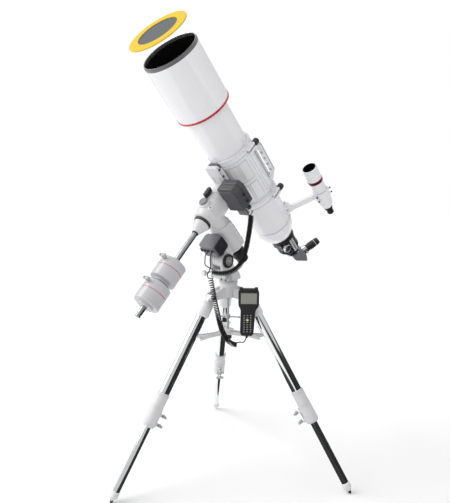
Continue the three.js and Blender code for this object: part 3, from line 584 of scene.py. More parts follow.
def make_base():
    form = Form()
    cheek = [(-34, 757), (30, 757), (34, 764), (26, 782), (-2, 806), (-15, 828)]
    cheek += arc(PIVOT_Y, PIVOT_Z, 30, -5, 185, 20) + [(-70, 800), (-56, 770)]
    for a, b in ((-34, -22), (22, 34)):
        form.plate(cheek, a, b, CAST, STAND, edge=1.8, holes=[arc(PIVOT_Y, PIVOT_Z, 5.2, 0, 345, 23)])
    middle = [(-34, 757), (30, 757), (34, 764), (26, 782), (6, 799), (-62, 799), (-66, 792), (-56, 770)]
    form.plate(middle, -23, 23, CAST, STAND, edge=2)
    form.lathe([(0, 743.3), (36, 743.3), (36, 756), (33, 759), (0, 759)], CAST, edge=2)
    form.ring(35, 36.6, 748, 750, GREY, edge=0.4)
    form.ring(3.3, 9, -66, -54, CAST, shift(-20, 0, 791) @ ALONG_Y, segments=32)
    for x in (4, 26):
        stand = shift(x, -46, 757)
        form.rod(2.5, 0, 17, DARK, stand, segments=20)
        form.lathe([(0, 12), (6, 12), (6.5, 16), (0, 17)], DARK, stand, segments=20)
        form.rod(1.8, -9, 9, DARK, stand @ shift(0, 0, 18) @ spin(40, "Z") @ ALONG_X, segments=16)
    for i in range(13):
        tick = spin(4 * i - 64, "Z")
        form.block((36.0, 36.6), (-0.4, 0.4), (751, 755 - (i % 2) * 1.6), BLACK, tick, edge=0)
    form.piece("mount_base", "azimuth", BASE, "azimuth_base")

    disc = Form()
    at = BASE @ shift(0, PIVOT_Y, PIVOT_Z) @ ALONG_X
    disc.rod(5, -33, 35, BRIGHT)
    disc.lathe([(0, 34.3), (27, 34.3), (27, 41), (24.5, 43.4), (20, 43.4), (19, 42.2), (0, 42.2)], BLACK,
               edge=0.8)
    for r in (16, 11.5, 7):
        disc.ring(r - 1.1, r + 0.3, 41.8, 43, MARK, edge=0.2, segments=56)
    disc.rod(3.6, 41.8, 44, MARK, segments=6)
    disc.piece("latitude_disc", "azimuth", at, "latitude_axle")

    for side, name in ((-1, "left"), (1, "right")):
        bolt = Form()
        bolt.rod(3, 0, 15, BRIGHT, segments=24)
        knob(bolt, 11, 14, 24, GREY, flutes=10)
        turned = BASE @ shift(side * 24, -41, 771) @ spin(90 * side, "Y")
        bolt.piece(f"{name}_azimuth_bolt", f"azimuth_bolt_{name[0]}", turned, f"azimuth_bolt_{name}")
    bolt = Form()
    bolt.rod(3, 0, 51, BRIGHT, segments=24)
    knob(bolt, 11, 50, 64, SILVER, flutes=10)
    bolt.piece("altitude_bolt", "latitude_bolt_body", BASE @ shift(-20, -58, 791) @ spin(90, "X"),
               "latitude_bolt")


def socket(form, inner, z0, z1, at):
    """The collar of a cord's socket."""
    collar = [(inner, z0), (6, z0), (6, z1 - 1), (5, z1), (inner, z1), (inner, z0)]
    form.lathe(collar, BLACK, at, segments=32)


def make_polar():
    form = Form()
    form.lathe([(0, -195), (36, -195), (38, -191), (38, -150), (40, -140), (42, -100), (42, -70), (40, -67),
                (0, -67)], CAST, edge=3)
    form.ring(37, 39, -186, -181, CAST, edge=0.8)
    arm = [(0, -192), (0, -140), (-30, -140), (-34, -141)]
    arm += arc(-85.5, -174.4, 26.5, 58, 262, 22) + [(-60, -197), (-30, -192)]
    form.plate(arm, -21.5, 21.5, CAST, STAND, edge=2.2)
    rib = spin(-60, "Z")
    form.block((-8, 8), (30, 46), (-190, -72), CAST, rib, edge=2)
    form.block((-5, 5), (45.5, 47.4), (-184, -78), SILVER, rib)
    for z in (-170, -148, -126, -104):
        slot = arc(0, z, 1.7, 180, 360, 6) + arc(0, z + 12, 1.7, 0, 180, 6)
        form.plate(slot, 47.3, 47.8, BLACK, rib @ MIRRORED_BACK, edge=0)
    form.piece("polar_axis_housing", "polar", POLAR, "polar_housing")

    scope = Form()
    scope.lathe([(0, -270), (16, -270), (17, -276), (19, -276), (24, -272), (24, -250), (25.5, -246),
                 (25.5, -206), (25, -195.3), (0, -195.3)], ANODISED, edge=1.2)
    scope.ring(25, 28.4, -244, -210, BLACK, segments=108, flutes=36, depth=0.7)
    scope.lathe([(0, -273), (15.6, -273), (15.6, -269), (0, -269)], LENS, edge=0.6)
    scope.piece("polar_finder", "polar_scope_body", POLAR, "polar_scope")

    motor = Form()
    outline = [(-38, -52), (-30, -43.5), (36, -43.5), (40, -47), (40, -101), (34, -109), (-26, -109),
               (-38, -100)]
    motor.plate(outline, -129, -73.4, PURPLE, edge=2.5, steps=3)
    # the side plate with its vent slots is real; its black is painted shade, the face turned from the light
    # made darker than the purple-grey box
    side = [(-52, -75), (-98, -75), (-104, -82), (-104, -124), (-96, -129.5), (-54, -129.5), (-48, -122),
            (-48, -80)]
    motor.plate(side, 38, 44, BLACK, STAND, edge=1.8)
    for z in (-92, -96, -100, -104, -108):
        motor.block((43.4, 44.6), (-90, -66), (z, z + 1.6), ANODISED, edge=0.4)
    motor.block((-34, 36), (-110, -108), (-103, -84), DARK)
    for x in (-26, -11, 3.9, 24.6):
        seat = shift(x, 0, -93.5) @ ALONG_W
        socket(motor, 2.5, 108, 113, seat)
        motor.rod(2.6, 107, 110.5, BLACK, seat, segments=16)
    motor.piece("ra_motor", "polar", POLAR, "ra_motor_box")


def make_head():
    form = Form()
    form.lathe([(0, -100), (40, -100), (40, -64), (50, -52), (50, -22), (44, 10), (44, 24), (38, 38),
                (38, 51.7), (9, 51.7), (0, 51.6)], CAST, ALONG_W, edge=5)
    form.ring(36.4, 39.4, 44, 49, CAST, ALONG_W)
    form.rod(36, -66.7, 0, CAST, segments=72, edge=1.5)
    form.lathe([(34, -66.7), (38, -66.7), (38, -60), (34, -57), (34, -66.7)], CAST)
    form.lathe([(0, 0), (27, 0), (24.5, 36), (23, 46), (20, 49.7), (0, 49.7)], CAST, edge=2)
    form.rod(14, 20, 50.3, CAST, shift(0, 38.2, 0), edge=1)
    # the clamp screw's recess on the near side
    face = spin(38, "Y") @ shift(0, -6, 40)
    form.plate([(-11, 0), (0, 15), (11, 0), (0, -15)], 0, 3.2, CAP, face, edge=1)
    form.lathe([(3.2, 2), (7.5, 2), (7.5, 6.5), (6.4, 7.5), (3.2, 7.5), (3.2, 2)], WHITE,
               face @ shift(3, -6, 0), segments=32)
    form.rod(3.3, 2, 6, BLACK, face @ shift(3, -6, 0), segments=6)
    form.piece("declination_housing", "ra", POLAR, "dec_housing")

    cap = Form()
    cap.lathe([(0, 50), (16.2, 50), (16.2, 55.6), (14.5, 58), (12.5, 58), (12, 57.2), (0, 57.2)], CAP,
              edge=0.8)
    cap.piece("polar_bore_cap", "cap_body", POLAR, "polar_cap")

    clutch = Form()
    at = POLAR @ shift(0, 38.2, 0)
    clutch.rod(4, 36, 52, BRIGHT, segments=24)
    clutch.lathe([(0, 50.6), (9, 50.6), (9, 54), (0, 54)], BLACK, segments=36)
    clutch.plate(arc(0, 13, 8, 0, 180) + arc(0, -13, 8, 180, 360), 53.5, 68, BLACK, edge=2, steps=3)
    for y in (-12, -6, 0, 6, 12):
        clutch.block((-8.4, 8.4), (y - 1.2, y + 1.2), (56, 66), BLACK)
    clutch.piece("declination_clutch", "clutch", at, "dec_clutch_knob")

    box = Form()
    outline = [(44, -39), (112, -39), (127, -24), (127, 52), (114, 69), (44, 69)]
    box.plate(outline, -99, -75.2, DARK, FACING_FRONT, edge=3, steps=3)
    box.plate(outline, -74.4, -46, DARK, FACING_FRONT, edge=2.5, steps=3)
    inner = [(46, -36), (110, -36), (124, -22), (124, 50), (112, 66), (46, 66)]
    box.plate(inner, -76, -73, BLACK, FACING_FRONT, edge=0)
    step = [(52, -30), (108, -30), (118, -20), (118, 46), (108, 60), (52, 60)]
    box.plate(step, -47, -43.5, DARK, FACING_FRONT, edge=1.5)
    for z in (-8, 22):
        seat = shift(0, 72, z) @ ALONG_X
        socket(box, 3, 125, 131, seat)
        box.rod(3.1, 124, 128, BLACK, seat, segments=16)
    for z in (-30, 54):
        box.rod(2.6, 90, 99.8, ANODISED, shift(104, 0, z) @ ALONG_Y, segments=20)
    box.block((106, 118), (68, 82), (-52, -38), BLACK, edge=1.5)
    box.piece("declination_motor", "ra", POLAR, "dec_motor_box")

    circle = Form()
    circle.ring(10.4, 32.5, 52, 61.8, BLACK, ALONG_W, edge=0.8, segments=96)
    for i in range(48):
        tall = 3.4 if i % 4 == 0 else 2
        circle.block((32.3, 32.8), (-0.3, 0.3), (54, 54 + tall), MARK, ALONG_W @ spin(i * 7.5, "Z"), edge=0)
    circle.piece("setting_circle", "circle", POLAR, "dec_setting_circle")

    collar = Form()
    collar.lathe([(10.3, 62.1), (30, 62.1), (30, 68), (14, 103), (13, 105), (10.3, 105), (10.3, 62.1)], CAST,
                 ALONG_W, edge=1.6)
    collar.piece("shaft_cone", "ra", POLAR, "shaft_collar")
    shaft = Form()
    # the counterweight shaft in the darkened steel: painted dark reflection
    shaft.lathe([(0, 52), (10, 52), (10, 463), (8.5, 465), (8.5, 468), (10, 470), (10, 474), (9, 475),
                 (0, 475)], STEEL_PAINTED_DARK_REFLECTION, ALONG_W, segments=64, edge=0.6)
    shaft.lathe([(9.5, 103.5), (12.6, 103.5), (12.6, 109), (9.5, 110), (9.5, 103.5)], BLACK, ALONG_W,
                segments=48)
    shaft.piece("weight_shaft", "ra", POLAR, "counterweight_shaft")


def make_weight(name, body, screw_body, start, end, above, below):
    form = Form()
    line = start + 0.42 * (end - start)
    # the weight's body in the greyer white: painted shade
    form.lathe([(10.3, start - above), (29, start - above), (30, start - above + 1), (30, start),
                (46, start), (48, start + 2), (48, end - 2), (46, end), (30, end), (30, end + below - 1),
                (29, end + below), (10.3, end + below), (10.3, start - above)], WEIGHT_PAINTED_SHADE, ALONG_W, segments=96,
               edge=1.5)
    form.lathe([(47, line), (48.25, line + 0.2), (48.25, line + 2), (47, line + 2.2), (47, line)], RED,
               ALONG_W, segments=96, edge=0)
    seat = shift(0, -(start + 13), 0)
    form.rod(8, 44, 49.5, WEIGHT_PAINTED_SHADE, seat, segments=32)
    form.piece(f"{name}_counterweight", body, POLAR, f"{name}_weight")
    wing = Form()
    wing.rod(3, 14, 58, BRIGHT, segments=24)
    wing.lathe([(0, 50), (6.5, 50), (7.5, 58), (7, 64), (0, 65)], GREY, segments=32)
    outline = [(-5, 54), (-11, 56)] + arc(-10.5, 63, 4.6, 230, 80, 8) + [(-4, 62), (4, 62)]
    outline += arc(10.5, 63, 4.6, 100, -50, 8) + [(5, 54)]
    wing.plate(outline, -4.2, 4.2, GREY, spin(90, "X"), edge=1.8)
    wing.piece(f"{name}_wing_screw", screw_body, POLAR @ seat, f"{name}_weight_screw")


# ---------- saddle and cradle ----------
def make_saddle():
    form = Form()
    outline = [(-30, 66), (-24, 74), (24, 74), (30, 66), (30, -104), (24, -113), (-24, -113), (-30, -104)]
    form.plate(outline, 107, 121.8, CAST, FACING_BACK, edge=1.6)
    for side in (-1, 1):
        for z0, z1 in ((-70, -30), (40, 96)):
            form.block(across(side, 23.4, 30), (119, 131), (z0, z1), CAST, edge=1.5)
        form.block(across(side, 27, 30.6), (109, 113), (-60, 98), GREY)
        form.block(across(side, 27, 30.4), (115.6, 117), (-100, 62), DARK, edge=0.3)
        form.block(across(side, 15, 17), (106.6, 108), (42, 70), DARK, edge=0.3)
        form.block(across(side, 15, 17), (106.6, 108), (-108, -42), DARK, edge=0.3)
    form.lathe([(0, 100.5), (38, 100.5), (38, 108), (0, 108)], CAST, ALONG_Y, edge=1.2)
    for z in (68, 100):
        seat = shift(0, 114, z) @ ALONG_X
        form.rod(4.5, 28, 33, BLACK, seat, segments=24)
        form.rod(4.5, -33, -28, BLACK, seat, segments=24)
    form.piece("saddle_plate", "dec", POLAR, "saddle")
    bar = Form()
    section = [(-22.5, 122.6), (22.5, 122.6), (18.5, 134.2), (-18.5, 134.2)]
    bar.plate(section, -150, 114, DARK)
    bar.block((-9, 9), (132.5, 134.4), (-146, 110), ANODISED, edge=0.4)
    bar.piece("dovetail", "tube", POLAR, "dovetail_bar")


FRONT_RING, REAR_RING = (79, 112), (-148, -115)
BAR_TOP = 134.5 - TUBE_UP


def half_ring(form, inner, outer, z0, z1, start, end, material, edge=1.2):
    steps = 44
    outline = arc(0, 0, outer, start, end, steps) + arc(0, 0, inner, end, start, steps)
    form.plate(outline, z0, z1, material, edge=edge)


def panel(form, z0, z1, start, end):
    """A raised field on the cradle's shell, with a grey line round it."""
    half_ring(form, 85, 86.4, z0, z1, start, end, WHITE, 0.5)
    for z in (z0, z1 - 1.4):
        half_ring(form, 86, 86.7, z, z + 1.4, start, end, GREY, 0)
    for angle in (start, end - 0.9):
        half_ring(form, 86, 86.7, z0, z1, angle, angle + 0.9, GREY, 0)


def make_cradle():
    low, high = Form(), Form()
    halves = ((low, 180.2, 359.8), (high, 0.2, 179.8))
    for z0, z1 in (FRONT_RING, REAR_RING):
        middle = (z0 + z1) / 2
        for form, start, end in halves:
            half_ring(form, 80.5, 90, z0, z1, start, end, WHITE)
        for form, start, end in ((low, 181, 359), (high, 8, 172)):
            for a, b in ((z0 + 3, z0 + 7), (z1 - 7, z1 - 3)):
                half_ring(form, 88, 91.4, a, b, start, end, WHITE, 0.8)
            for a, b in ((z0 + 7, z0 + 8.4), (z1 - 8.4, z1 - 7)):
                half_ring(form, 88, 90.3, a, b, start, end, GREY, 0)
        foot = [(-30, BAR_TOP), (30, BAR_TOP), (26, -78), (-26, -78)]
        low.plate(foot, z0, z1, WHITE, edge=1)
        low.block((86, 98), (-16, -0.5), (z0 + 4, z1 - 4), WHITE, edge=1.2)
        for a, b in ((z0 + 4, middle - 5), (middle + 5, z1 - 4)):
            low.block((97, 112), (-16, -0.5), (a, b), WHITE, edge=1.2)
        high.block((86, 98), (0.5, 28), (z0 + 4, z1 - 4), WHITE, edge=1.5)
        for a, b in ((z0 + 4, middle - 4.8), (middle + 4.8, z1 - 4)):
            high.block((97, 112), (0.5, 28), (a, b), WHITE, edge=1.2)
        low.rod(2.5, z0, z1, BRIGHT, shift(-97, 0, 0), segments=24)
        for a, b in ((z0, z0 + 9), (z1 - 9, z1)):
            low.ring(2.6, 6.5, a, b, WHITE, shift(-97, 0, 0), segments=32)
            low.block((-94, -84), (-14, -0.8), (a, b), WHITE, edge=1)
        high.ring(2.9, 6.5, z0 + 9.4, z1 - 9.4, WHITE, shift(-97, 0, 0), segments=32)
        high.block((-94, -84), (0.8, 14), (z0 + 9.4, z1 - 9.4), WHITE, edge=1)
    for form, start, end in halves:
        half_ring(form, 82.4, 85.4, -116, 80, start, end, WHITE, 0.5)
    # shallow panels and ribs on the shells
    for form, starts, width in ((low, (196, 224, 292, 320), 24), (high, (28, 58, 88, 118), 22)):
        for start in starts:
            for z0, z1 in ((-108, -28), (-12, 70)):
                panel(form, z0, z1, start, start + width)
    for form, angle in ((low, 357), (high, 5)):
        half_ring(form, 84.6, 88.4, -112, 76, angle - 2.2, angle + 2.2, WHITE, 0.5)
    # the carrying handle, solid, with painted shade where its opening and finger hollows are
    handle = spin(-57, "Z") @ Matrix(((0, 0, -1, 0), (0, 1, 0, 0), (1, 0, 0, 0), (0, 0, 0, 1)))
    outline = [(-118, 83), (-118, 88), (-90, 99), (-60, 117), (66, 118), (80.5, 110), (80.5, 83), (60, 83),
               (56, 96), (48, 100), (-56, 100), (-70, 92), (-84, 84), (-90, 83)]
    hollow_shade_discs = [arc(z, 106, 5, 0, 345, 23) for z in (-48, -20, 8, 36)]
    high.plate(softened(outline, 6), -9, 9, WHITE, handle, edge=1.6)
    band = [(-58, 114), (66, 115), (78, 108.5), (78, 112), (66, 119.4), (-60, 118.4)]
    high.plate(band, -6, 6, GREY, handle, edge=1)
    # the web that closes the opening, in a greyer white: painted shade of the opening
    high.plate([(-100, 83), (66, 83), (66, 91), (-100, 91)], -8, 8, SILVER, handle, edge=1)
    for side in (-1, 1):
        # a dark line along each side of the web: painted shade of the slot
        a, b = across(side, 7.6, 8.4)
        high.plate([(-96, 86.2), (62, 86.2), (62, 87.8), (-96, 87.8)], a, b, DARK, handle, edge=0)
        a, b = across(side, 8.6, 9.6)
        rail = [(-84, 97), (-56, 112), (64, 113), (76, 106), (76, 103), (64, 109.5), (-55, 108.5), (-84, 93)]
        high.plate(rail, a, b, SILVER, handle, edge=0.4)
        # grey discs where the finger hollows are: painted shade
        for hole in hollow_shade_discs:
            high.plate(hole, a, b, GREY, handle, edge=0.4)
    high.piece("cradle_lid_shell", "cradle_lid", TUBE, "cradle_upper")
    low.piece("cradle_bed_shell", "tube", TUBE, "cradle_lower")
    for name, (z0, z1) in (("front", FRONT_RING), ("rear", REAR_RING)):
        screw = Form()
        screw.rod(4, -17.5, 33, BRIGHT, segments=24)
        screw.lathe([(0, 28.4), (7, 28.4), (7, 30.4), (0, 30.4)], BRIGHT, segments=32)
        knob(screw, 12.5, 31, 52, BLACK, flutes=8, depth=1.8)
        at = TUBE @ shift(103, 0, (z0 + z1) / 2) @ ALONG_Y
        screw.piece(f"{name}_cradle_knob", f"knob_{name}", at, f"cradle_knob_{name}")


# ---------- optical tube ----------
def make_tube():
    form = Form()
    form.ring(78, 80, -296, 288, WHITE, segments=144, edge=0.5)
    shoe = spin(FINDER_ANGLE, "Z")
    form.block((-17, 17), (77, 82.4), (-286, -236), WHITE, shoe, edge=1)
    for side in (-1, 1):
        form.block(across(side, 9.5, 17), (82, 89), (-286, -236), WHITE, shoe, edge=1)
    form.rod(2.6, 12, 20, BRIGHT, shoe @ shift(0, 86, -261) @ ALONG_X, segments=24)
    form.piece("optical_tube", "tube", TUBE, "main_tube")

    cap = Form()
    cap.lathe([(97.4, 290), (99, 290), (99.8, 292), (100, 302), (100, 509), (98.4, 510), (97.4, 510),
               (97.4, 290)], WHITE, segments=160, edge=0.5)
    cap.ring(97.2, 97.6, 290.5, 513, FLOCK, segments=160, edge=0)
    cap.lathe([(97.2, 508), (100, 508), (100.8, 509.5), (100.8, 517), (99, 521), (96.5, 521), (95.5, 518),
               (95.5, 511), (97.2, 508)], RIM, segments=160)
    cap.lathe([(97, 520), (98.6, 521.6), (97.6, 521.9), (96.4, 521.2), (97, 520)], BRIGHT, segments=160,
              edge=0)
    cap.lathe([(99, 292), (101.5, 292), (101.7, 293), (101.7, 298), (101.3, 299), (99, 299), (99, 292)], RED,
              segments=160, edge=0.4)
    cap.piece("dew_shield", "tube", TUBE, "dew_cap")

    glass = Form()
    dome = [(0, 323)] + [(72 * k / 8, 323 - 7 * (k / 8) ** 2) for k in range(1, 9)]
    glass.lathe([(0, 300)] + [(72, 300)] + dome[::-1], LENS, segments=120, edge=0)
    glass.lathe([(72, 288.3), (96.7, 288.3), (96.7, 326), (80, 326), (76, 320), (74.5, 314), (72, 312),
                 (72, 288.3)], FLOCK, segments=120)
    glass.piece("objective_lens", "tube", TUBE, "objective")

    cell = Form()
    cell.lathe([(46, -378), (50, -378), (56, -374), (68, -356), (76, -338), (80, -318), (80, -309),
                (84.6, -307.4), (84.6, -296.3), (75, -296.3), (72, -330), (46, -366), (46, -378)], WHITE,
               segments=144, edge=1.4)
    cell.ring(79.5, 81.6, -312, -309.4, WHITE, segments=144, edge=0.6)
    for k in range(3):
        cell.rod(2.6, 80, 86, BRIGHT, spin(120 * k + 20, "Z") @ shift(0, 0, -302) @ ALONG_X, segments=20)
    cell.piece("rear_cone", "tube", TUBE, "rear_cell")


def make_focuser():
    form = Form()
    form.lathe([(30.6, -470.5), (42, -470.5), (46, -465), (46, -404), (48, -401), (50, -400), (50, -378.3),
                (30.6, -378.3), (30.6, -470.5)], BLACK, segments=120, edge=1.2)
    form.ring(47, 51.2, -398, -382, BLACK, segments=120, flutes=30, depth=1.1)
    for z in (-460, -452, -412):
        form.ring(45, 47, z, z + 3, ANODISED, segments=96, edge=0.6)
    form.block((-30, 30), (-46, -28), (-436, -404), BLACK, edge=3, steps=3)
    # a grey strip along the black body's upper side: painted highlight, set where the glossy body's highlight
    # falls
    form.block((39, 47.5), (-8, 13), (-468, -386), GREY, edge=1.2)
    form.block((46.5, 48.2), (1.4, 3.6), (-464, -390), BLACK, edge=0.3)
    for x in (-22, 22):
        for z in (-430, -410):
            form.rod(2.2, 44, 47, BRIGHT, shift(x, 0, z) @ ALONG_W, segments=6)
    form.rod(3, 44, 52, BRIGHT, shift(0, 0, -444) @ ALONG_X, segments=24)
    form.piece("focuser_housing", "focuser", FOCUSER, "focuser_body")
    axle = Form()
    at = FOCUSER @ shift(0, -34, -420) @ ALONG_X
    axle.rod(3, -40, 44, BRIGHT, segments=24)
    axle.lathe([(0, -45), (7.4, -45), (8, -44), (8, -38), (0, -37.8)], BRIGHT, segments=36)
    axle.lathe([(0, 37.3), (9, 37.3), (9, 41), (17.5, 42), (17.5, 54), (15.5, 56), (12, 56), (11, 54.6),
                (0, 54.6)], BRIGHT, segments=144, flutes=36, depth=0.8)
    axle.piece("focus_wheel", "knob_focus", at, "focus_knob")
    draw = Form()
    draw.lathe([(16.5, -500), (31.6, -500), (33, -498.5), (33, -488), (30, -487), (30, -386), (27, -386),
                (27, -484), (16.5, -490), (16.5, -500)], ANODISED, segments=96, edge=0.8)
    draw.ring(32.4, 33.6, -496, -491, BRIGHT, segments=96, edge=0.3)
    for angle in (20, 200):
        screw = spin(angle, "Z") @ shift(0, 0, -493.5) @ ALONG_X
        draw.rod(2.2, 28, 41, BRIGHT, screw, segments=20)
        knob(draw, 4.6, 35, 41, BRIGHT, screw, flutes=8, depth=0.5)
    draw.piece("focuser_drawtube", "draw", DRAW, "drawtube")

    mirror = Form()
    mirror.rod(15.8, -503, -488, BRIGHT, segments=48)
    mirror.lathe([(0, -507), (21, -507), (21, -500.4), (0, -500.4)], ANODISED, segments=72)
    wedge = [(-14, -501), (24, -501), (41, -520), (41, -553), (34, -577), (29, -577), (-9, -540),
             (-14, -534)]
    mirror.plate(wedge, -21, 21, PURPLE, STAND, edge=2, steps=3)
    back = basis((1, 0, 0), (0, 0.717, -0.697), (0, -0.697, -0.717), (0, 10, -558.5))
    mirror.block((-22.5, 22.5), (-29, 29), (-1, 2.6), GREY, back, edge=1.2)
    for x in (-17, 17):
        for y in (-23, 23):
            mirror.rod(2, 2, 4, BRIGHT, back @ shift(x, y, 0), segments=20)
    seat = shift(0, 0, -536) @ ALONG_Y
    mirror.lathe([(16.2, 38), (19.5, 38), (19.5, 57), (18.5, 58), (16.2, 58), (16.2, 38)], BRIGHT, seat,
                 segments=72)
    screw = seat @ shift(0, 0, 50) @ spin(90, "Y")
    mirror.rod(2.2, 17, 27, BRIGHT, screw, segments=20)
    knob(mirror, 4.8, 22, 28, BRIGHT, screw, flutes=8, depth=0.5)
    mirror.piece("star_diagonal", "diagonal_body", DRAW, "diagonal")

    eye = Form()
    eye.lathe([(0, 30), (15.8, 30), (15.8, 58.4), (0, 58.5)], BRIGHT, seat, segments=64)
    eye.lathe([(0, 58.6), (16.5, 58.6), (16.5, 64), (15.2, 65), (15.2, 69), (16.5, 70), (16.5, 112),
               (15, 116), (14, 122), (9, 122), (8, 118), (0, 118)], BLACK, seat, segments=96)
    eye.ring(15.6, 17.1, 74, 96, BLACK, seat, segments=144, flutes=36, depth=0.6)
    eye.ring(15.9, 16.7, 101, 103, MARK, seat, segments=96, edge=0.2)
    eye.lathe([(0, 118.2), (8.6, 118.2), (8.6, 119.6), (0, 120.4)], LENS, seat, segments=48, edge=0.3)
    eye.piece("eyepiece_barrel", "eyepiece_body", DRAW, "eyepiece")


def make_finder():
    form = Form()
    up = shift(0, -FINDER_UP, 0)
    form.block((-9, 9), (83.2, 100), (-282, -240), WHITE, up, edge=1)
    outline = [(-134, -280), (-134, -258), (-30, -246), (-26, -246), (-26, -270)]
    form.plate(outline, -6, 6, WHITE, STAND, edge=1.8)
    form.block((-8, 8), (99, 106), (-281, -256), WHITE, up, edge=1.5)
    form.ring(27.4, 32, -276, -238, WHITE, segments=96, edge=1.2)
    for k in range(3):
        for z in (-268, -246):
            screw = spin(90 + 120 * k, "Z") @ shift(0, 0, z) @ ALONG_X
            form.rod(2, 28, 40, BRIGHT, screw, segments=20)
            knob(form, 4.4, 36, 41, BLACK, screw, flutes=8, depth=0.5)
    form.piece("finder_holder", "finder", FINDER, "finder_bracket")
    scope = Form()
    scope.lathe([(0, -330), (17, -330), (24, -318), (27, -300), (27, -192), (29, -188), (29, -121),
                 (28, -120), (26, -120), (26, -150), (0, -152)], WHITE, segments=96, edge=0.8)
    scope.lathe([(26.1, -150), (26.3, -120.6), (25.2, -120.6), (25.2, -149), (0, -150), (0, -151),
                 (26.1, -151), (26.1, -150)], FLOCK, segments=96, edge=0)
    scope.lathe([(0, -149.6), (25, -149.6), (25, -147.5), (12, -145.8), (0, -145.2)], LENS, segments=72,
                edge=0)
    scope.ring(27.6, 30, -190, -178, WINE, segments=120, edge=0.6)
    scope.ring(28.4, 29.5, -177.8, -176, RED, segments=120, edge=0.2)
    scope.lathe([(0, -368), (11, -368), (13.5, -366), (13.5, -342), (17.4, -339), (17.4, -328), (0, -328)],
                BLACK, segments=96, flutes=24, depth=0.5, edge=0.8)
    scope.lathe([(0, -370), (9, -370), (9, -367), (0, -367)], LENS, segments=48)
    scope.piece("finder_scope", "finder", FINDER, "finder_tube")


def make_filter():
    form = Form()
    form.lathe([(73, 589.2), (105, 589.2), (106, 590.2), (106, 593.2), (105, 594), (73, 594), (73, 589.2)],
               YELLOW, segments=144, edge=0.5)
    form.ring(72.4, 76.5, 588.8, 594.4, YELLOW, segments=144, edge=0.6)
    form.lathe([(0, 590.6), (73.5, 590.6), (73.5, 592.4), (0, 592.4)], FILM, segments=144, edge=0)
    form.piece("solar_filter_card", "filter", TUBE, "solar_filter")


# ---------- handset ----------
def make_handset():
    form = Form()
    outline = [(-38, 676), (-38, 730), (-31, 740), (31, 740), (38, 730), (38, 676), (31, 667), (25, 655),
               (20, 572), (15, 562), (-25, 562), (-30, 572), (-29, 655), (-32, 667)]
    form.plate(softened(outline, 5), -13, 9, BLACK, edge=3, steps=3)
    bezel = [(-35, 681), (-35, 726), (-29, 735), (29, 735), (35, 726), (35, 681), (29, 675), (-29, 675)]
    form.plate(softened(bezel, 4), 8, 11, BLACK, edge=1.4)
    form.block((-31, 31), (682, 727), (10.4, 11.6), BLACK, edge=0.5)
    form.block((-29.5, 29.5), (684.5, 724.5), (11.2, 12.2), SCREEN, edge=0.3)
    for side in (-1, 1):
        form.block(across(side, 22, 34), (736, 745), (-9, 7), BLACK, edge=2.4)
    form.lathe([(2, 0), (5, 0), (4, -9), (2.6, -12), (2, -12), (2, 0)], RUBBER,
               shift(-5, 563, 0) @ spin(-90, "X"), segments=32)
    form.piece("handset_case", "handset_body", HANDSET, "handset")
    pad = Form()
    pad.plate(softened([(-22, 573), (14, 573), (14.5, 651), (-22.5, 651)], 3), 8.2, 10.4, BLACK)
    for row in range(8):
        for column in range(3):
            x, y = -16 + column * 12, 579 + row * 8.8
            lit = row == 5 and column == 1
            key = arc(x, y, 3.6, 0, 345, 15)
            pad.plate([(px + 0.9 * math.copysign(1, px - x), py) for px, py in key], 10.2, 12.2,
                      LIT if lit else KEY, edge=0.7)
            pad.block((x - 2.4, x + 2.4), (y - 0.8, y + 0.8), (12.1, 12.35), MARK, edge=0)
    pad.piece("handset_keypad", "keys", HANDSET, "handset_keys")


# ---------- studio ----------
SKY = 0.64
SUNS = (("key", (-0.66, -0.60, 0.70), 1.95, 45), ("top", (0.1, 0.1, 1.0), 0.5, 60))
CARD_R, CARD_ANGLES, CARD_HEIGHT = 1.5, range(-45, 80, 5), (0.02, 1.1)
FLOOR_HALF, PATCH_UP = 14, 0.002
PATCH = [(-0.3, -0.55), (0.4, -1.3), (3.0, -1.3), (3.0, 1.5), (0.2, 1.5), (-0.35, 0.3)]


def staged(name, points, faces, material):
    """A sheet of the studio, which is no part of the telescope."""
    mesh = bpy.data.meshes.new(name)
    mesh.from_pydata(points, [], [tuple(face) for face in faces])
    mesh.materials.append(material)
    made = place(name, mesh)
    return made


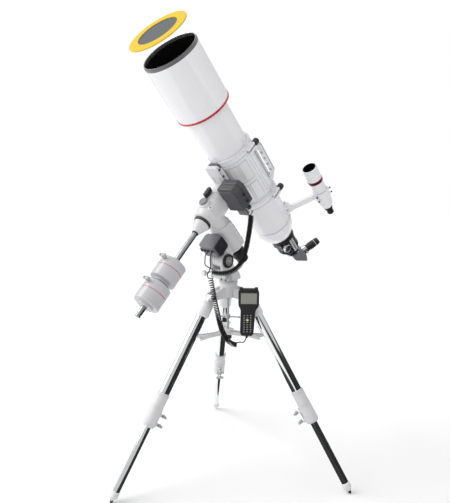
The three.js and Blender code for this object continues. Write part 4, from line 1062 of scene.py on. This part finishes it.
def make_studio():
    world = bpy.data.worlds.new("studio")
    bpy.context.scene.world = world
    world.use_nodes = True
    tree = world.node_tree
    sky = tree.nodes["Background"]
    path = tree.nodes.new("ShaderNodeLightPath")
    seen = tree.nodes.new("ShaderNodeMix")
    tree.links.new(path.outputs["Is Camera Ray"], seen.inputs[0])
    seen.inputs[2].default_value = SKY
    seen.inputs[3].default_value = 1.0
    tree.links.new(seen.outputs[0], sky.inputs["Strength"])
    sky.inputs["Color"].default_value = (1, 1, 1, 1)
    for name, toward, strength, spread in SUNS:
        data = bpy.data.lights.new(name, "SUN")
        data.energy = strength
        data.angle = math.radians(spread)
        lamp = place(name, data)
        lamp.rotation_mode = "QUATERNION"
        lamp.rotation_quaternion = Vector(toward).to_track_quat("Z", "Y")
    # a dark card at the right and a dark patch on the floor, which only reflections see
    black = finish_of("card_black", (0.01, 0.01, 0.01), 0.9, vary=0.1, grain=40, bump=0.02)
    angles = [math.radians(a) for a in CARD_ANGLES]
    corners = [(CARD_R * math.cos(a), CARD_R * math.sin(a), z) for z in CARD_HEIGHT for a in angles]
    count = len(angles)
    faces = [(i, i + 1, count + i + 1, count + i) for i in range(count - 1)]
    card = staged("dark_card", corners, faces, black)
    patch = staged("dark_patch", [(x, y, PATCH_UP) for x, y in PATCH], [range(len(PATCH))], black)
    for sheet in (card, patch):
        sheet.visible_camera = sheet.visible_diffuse = sheet.visible_shadow = False
    pale = finish_of("floor_pale", (0.93, 0.93, 0.93), 0.7, vary=0.01, grain=40, bump=0.02)
    corners = [(x * FLOOR_HALF, y * FLOOR_HALF, 0) for x, y in ((-1, -1), (1, -1), (1, 1), (-1, 1))]
    staged("floor", corners, [range(4)], pale)
    bpy.context.scene.view_settings.view_transform = "Standard"


make_camera()
make_cords()
make_hub()
make_rod()
make_spreader()
for leg_name, leg_azimuth in LEG_AZIMUTHS.items():
    make_leg(leg_name, leg_azimuth)
make_base()
make_polar()
make_head()
make_weight("upper", "weight_upper", "screw_upper", 247, 326.8, 8, 9)
make_weight("lower", "weight_lower", "screw_lower", 346, 426, 9, 8)
make_saddle()
make_cradle()
make_tube()
make_focuser()
make_finder()
make_filter()
make_handset()
make_studio()
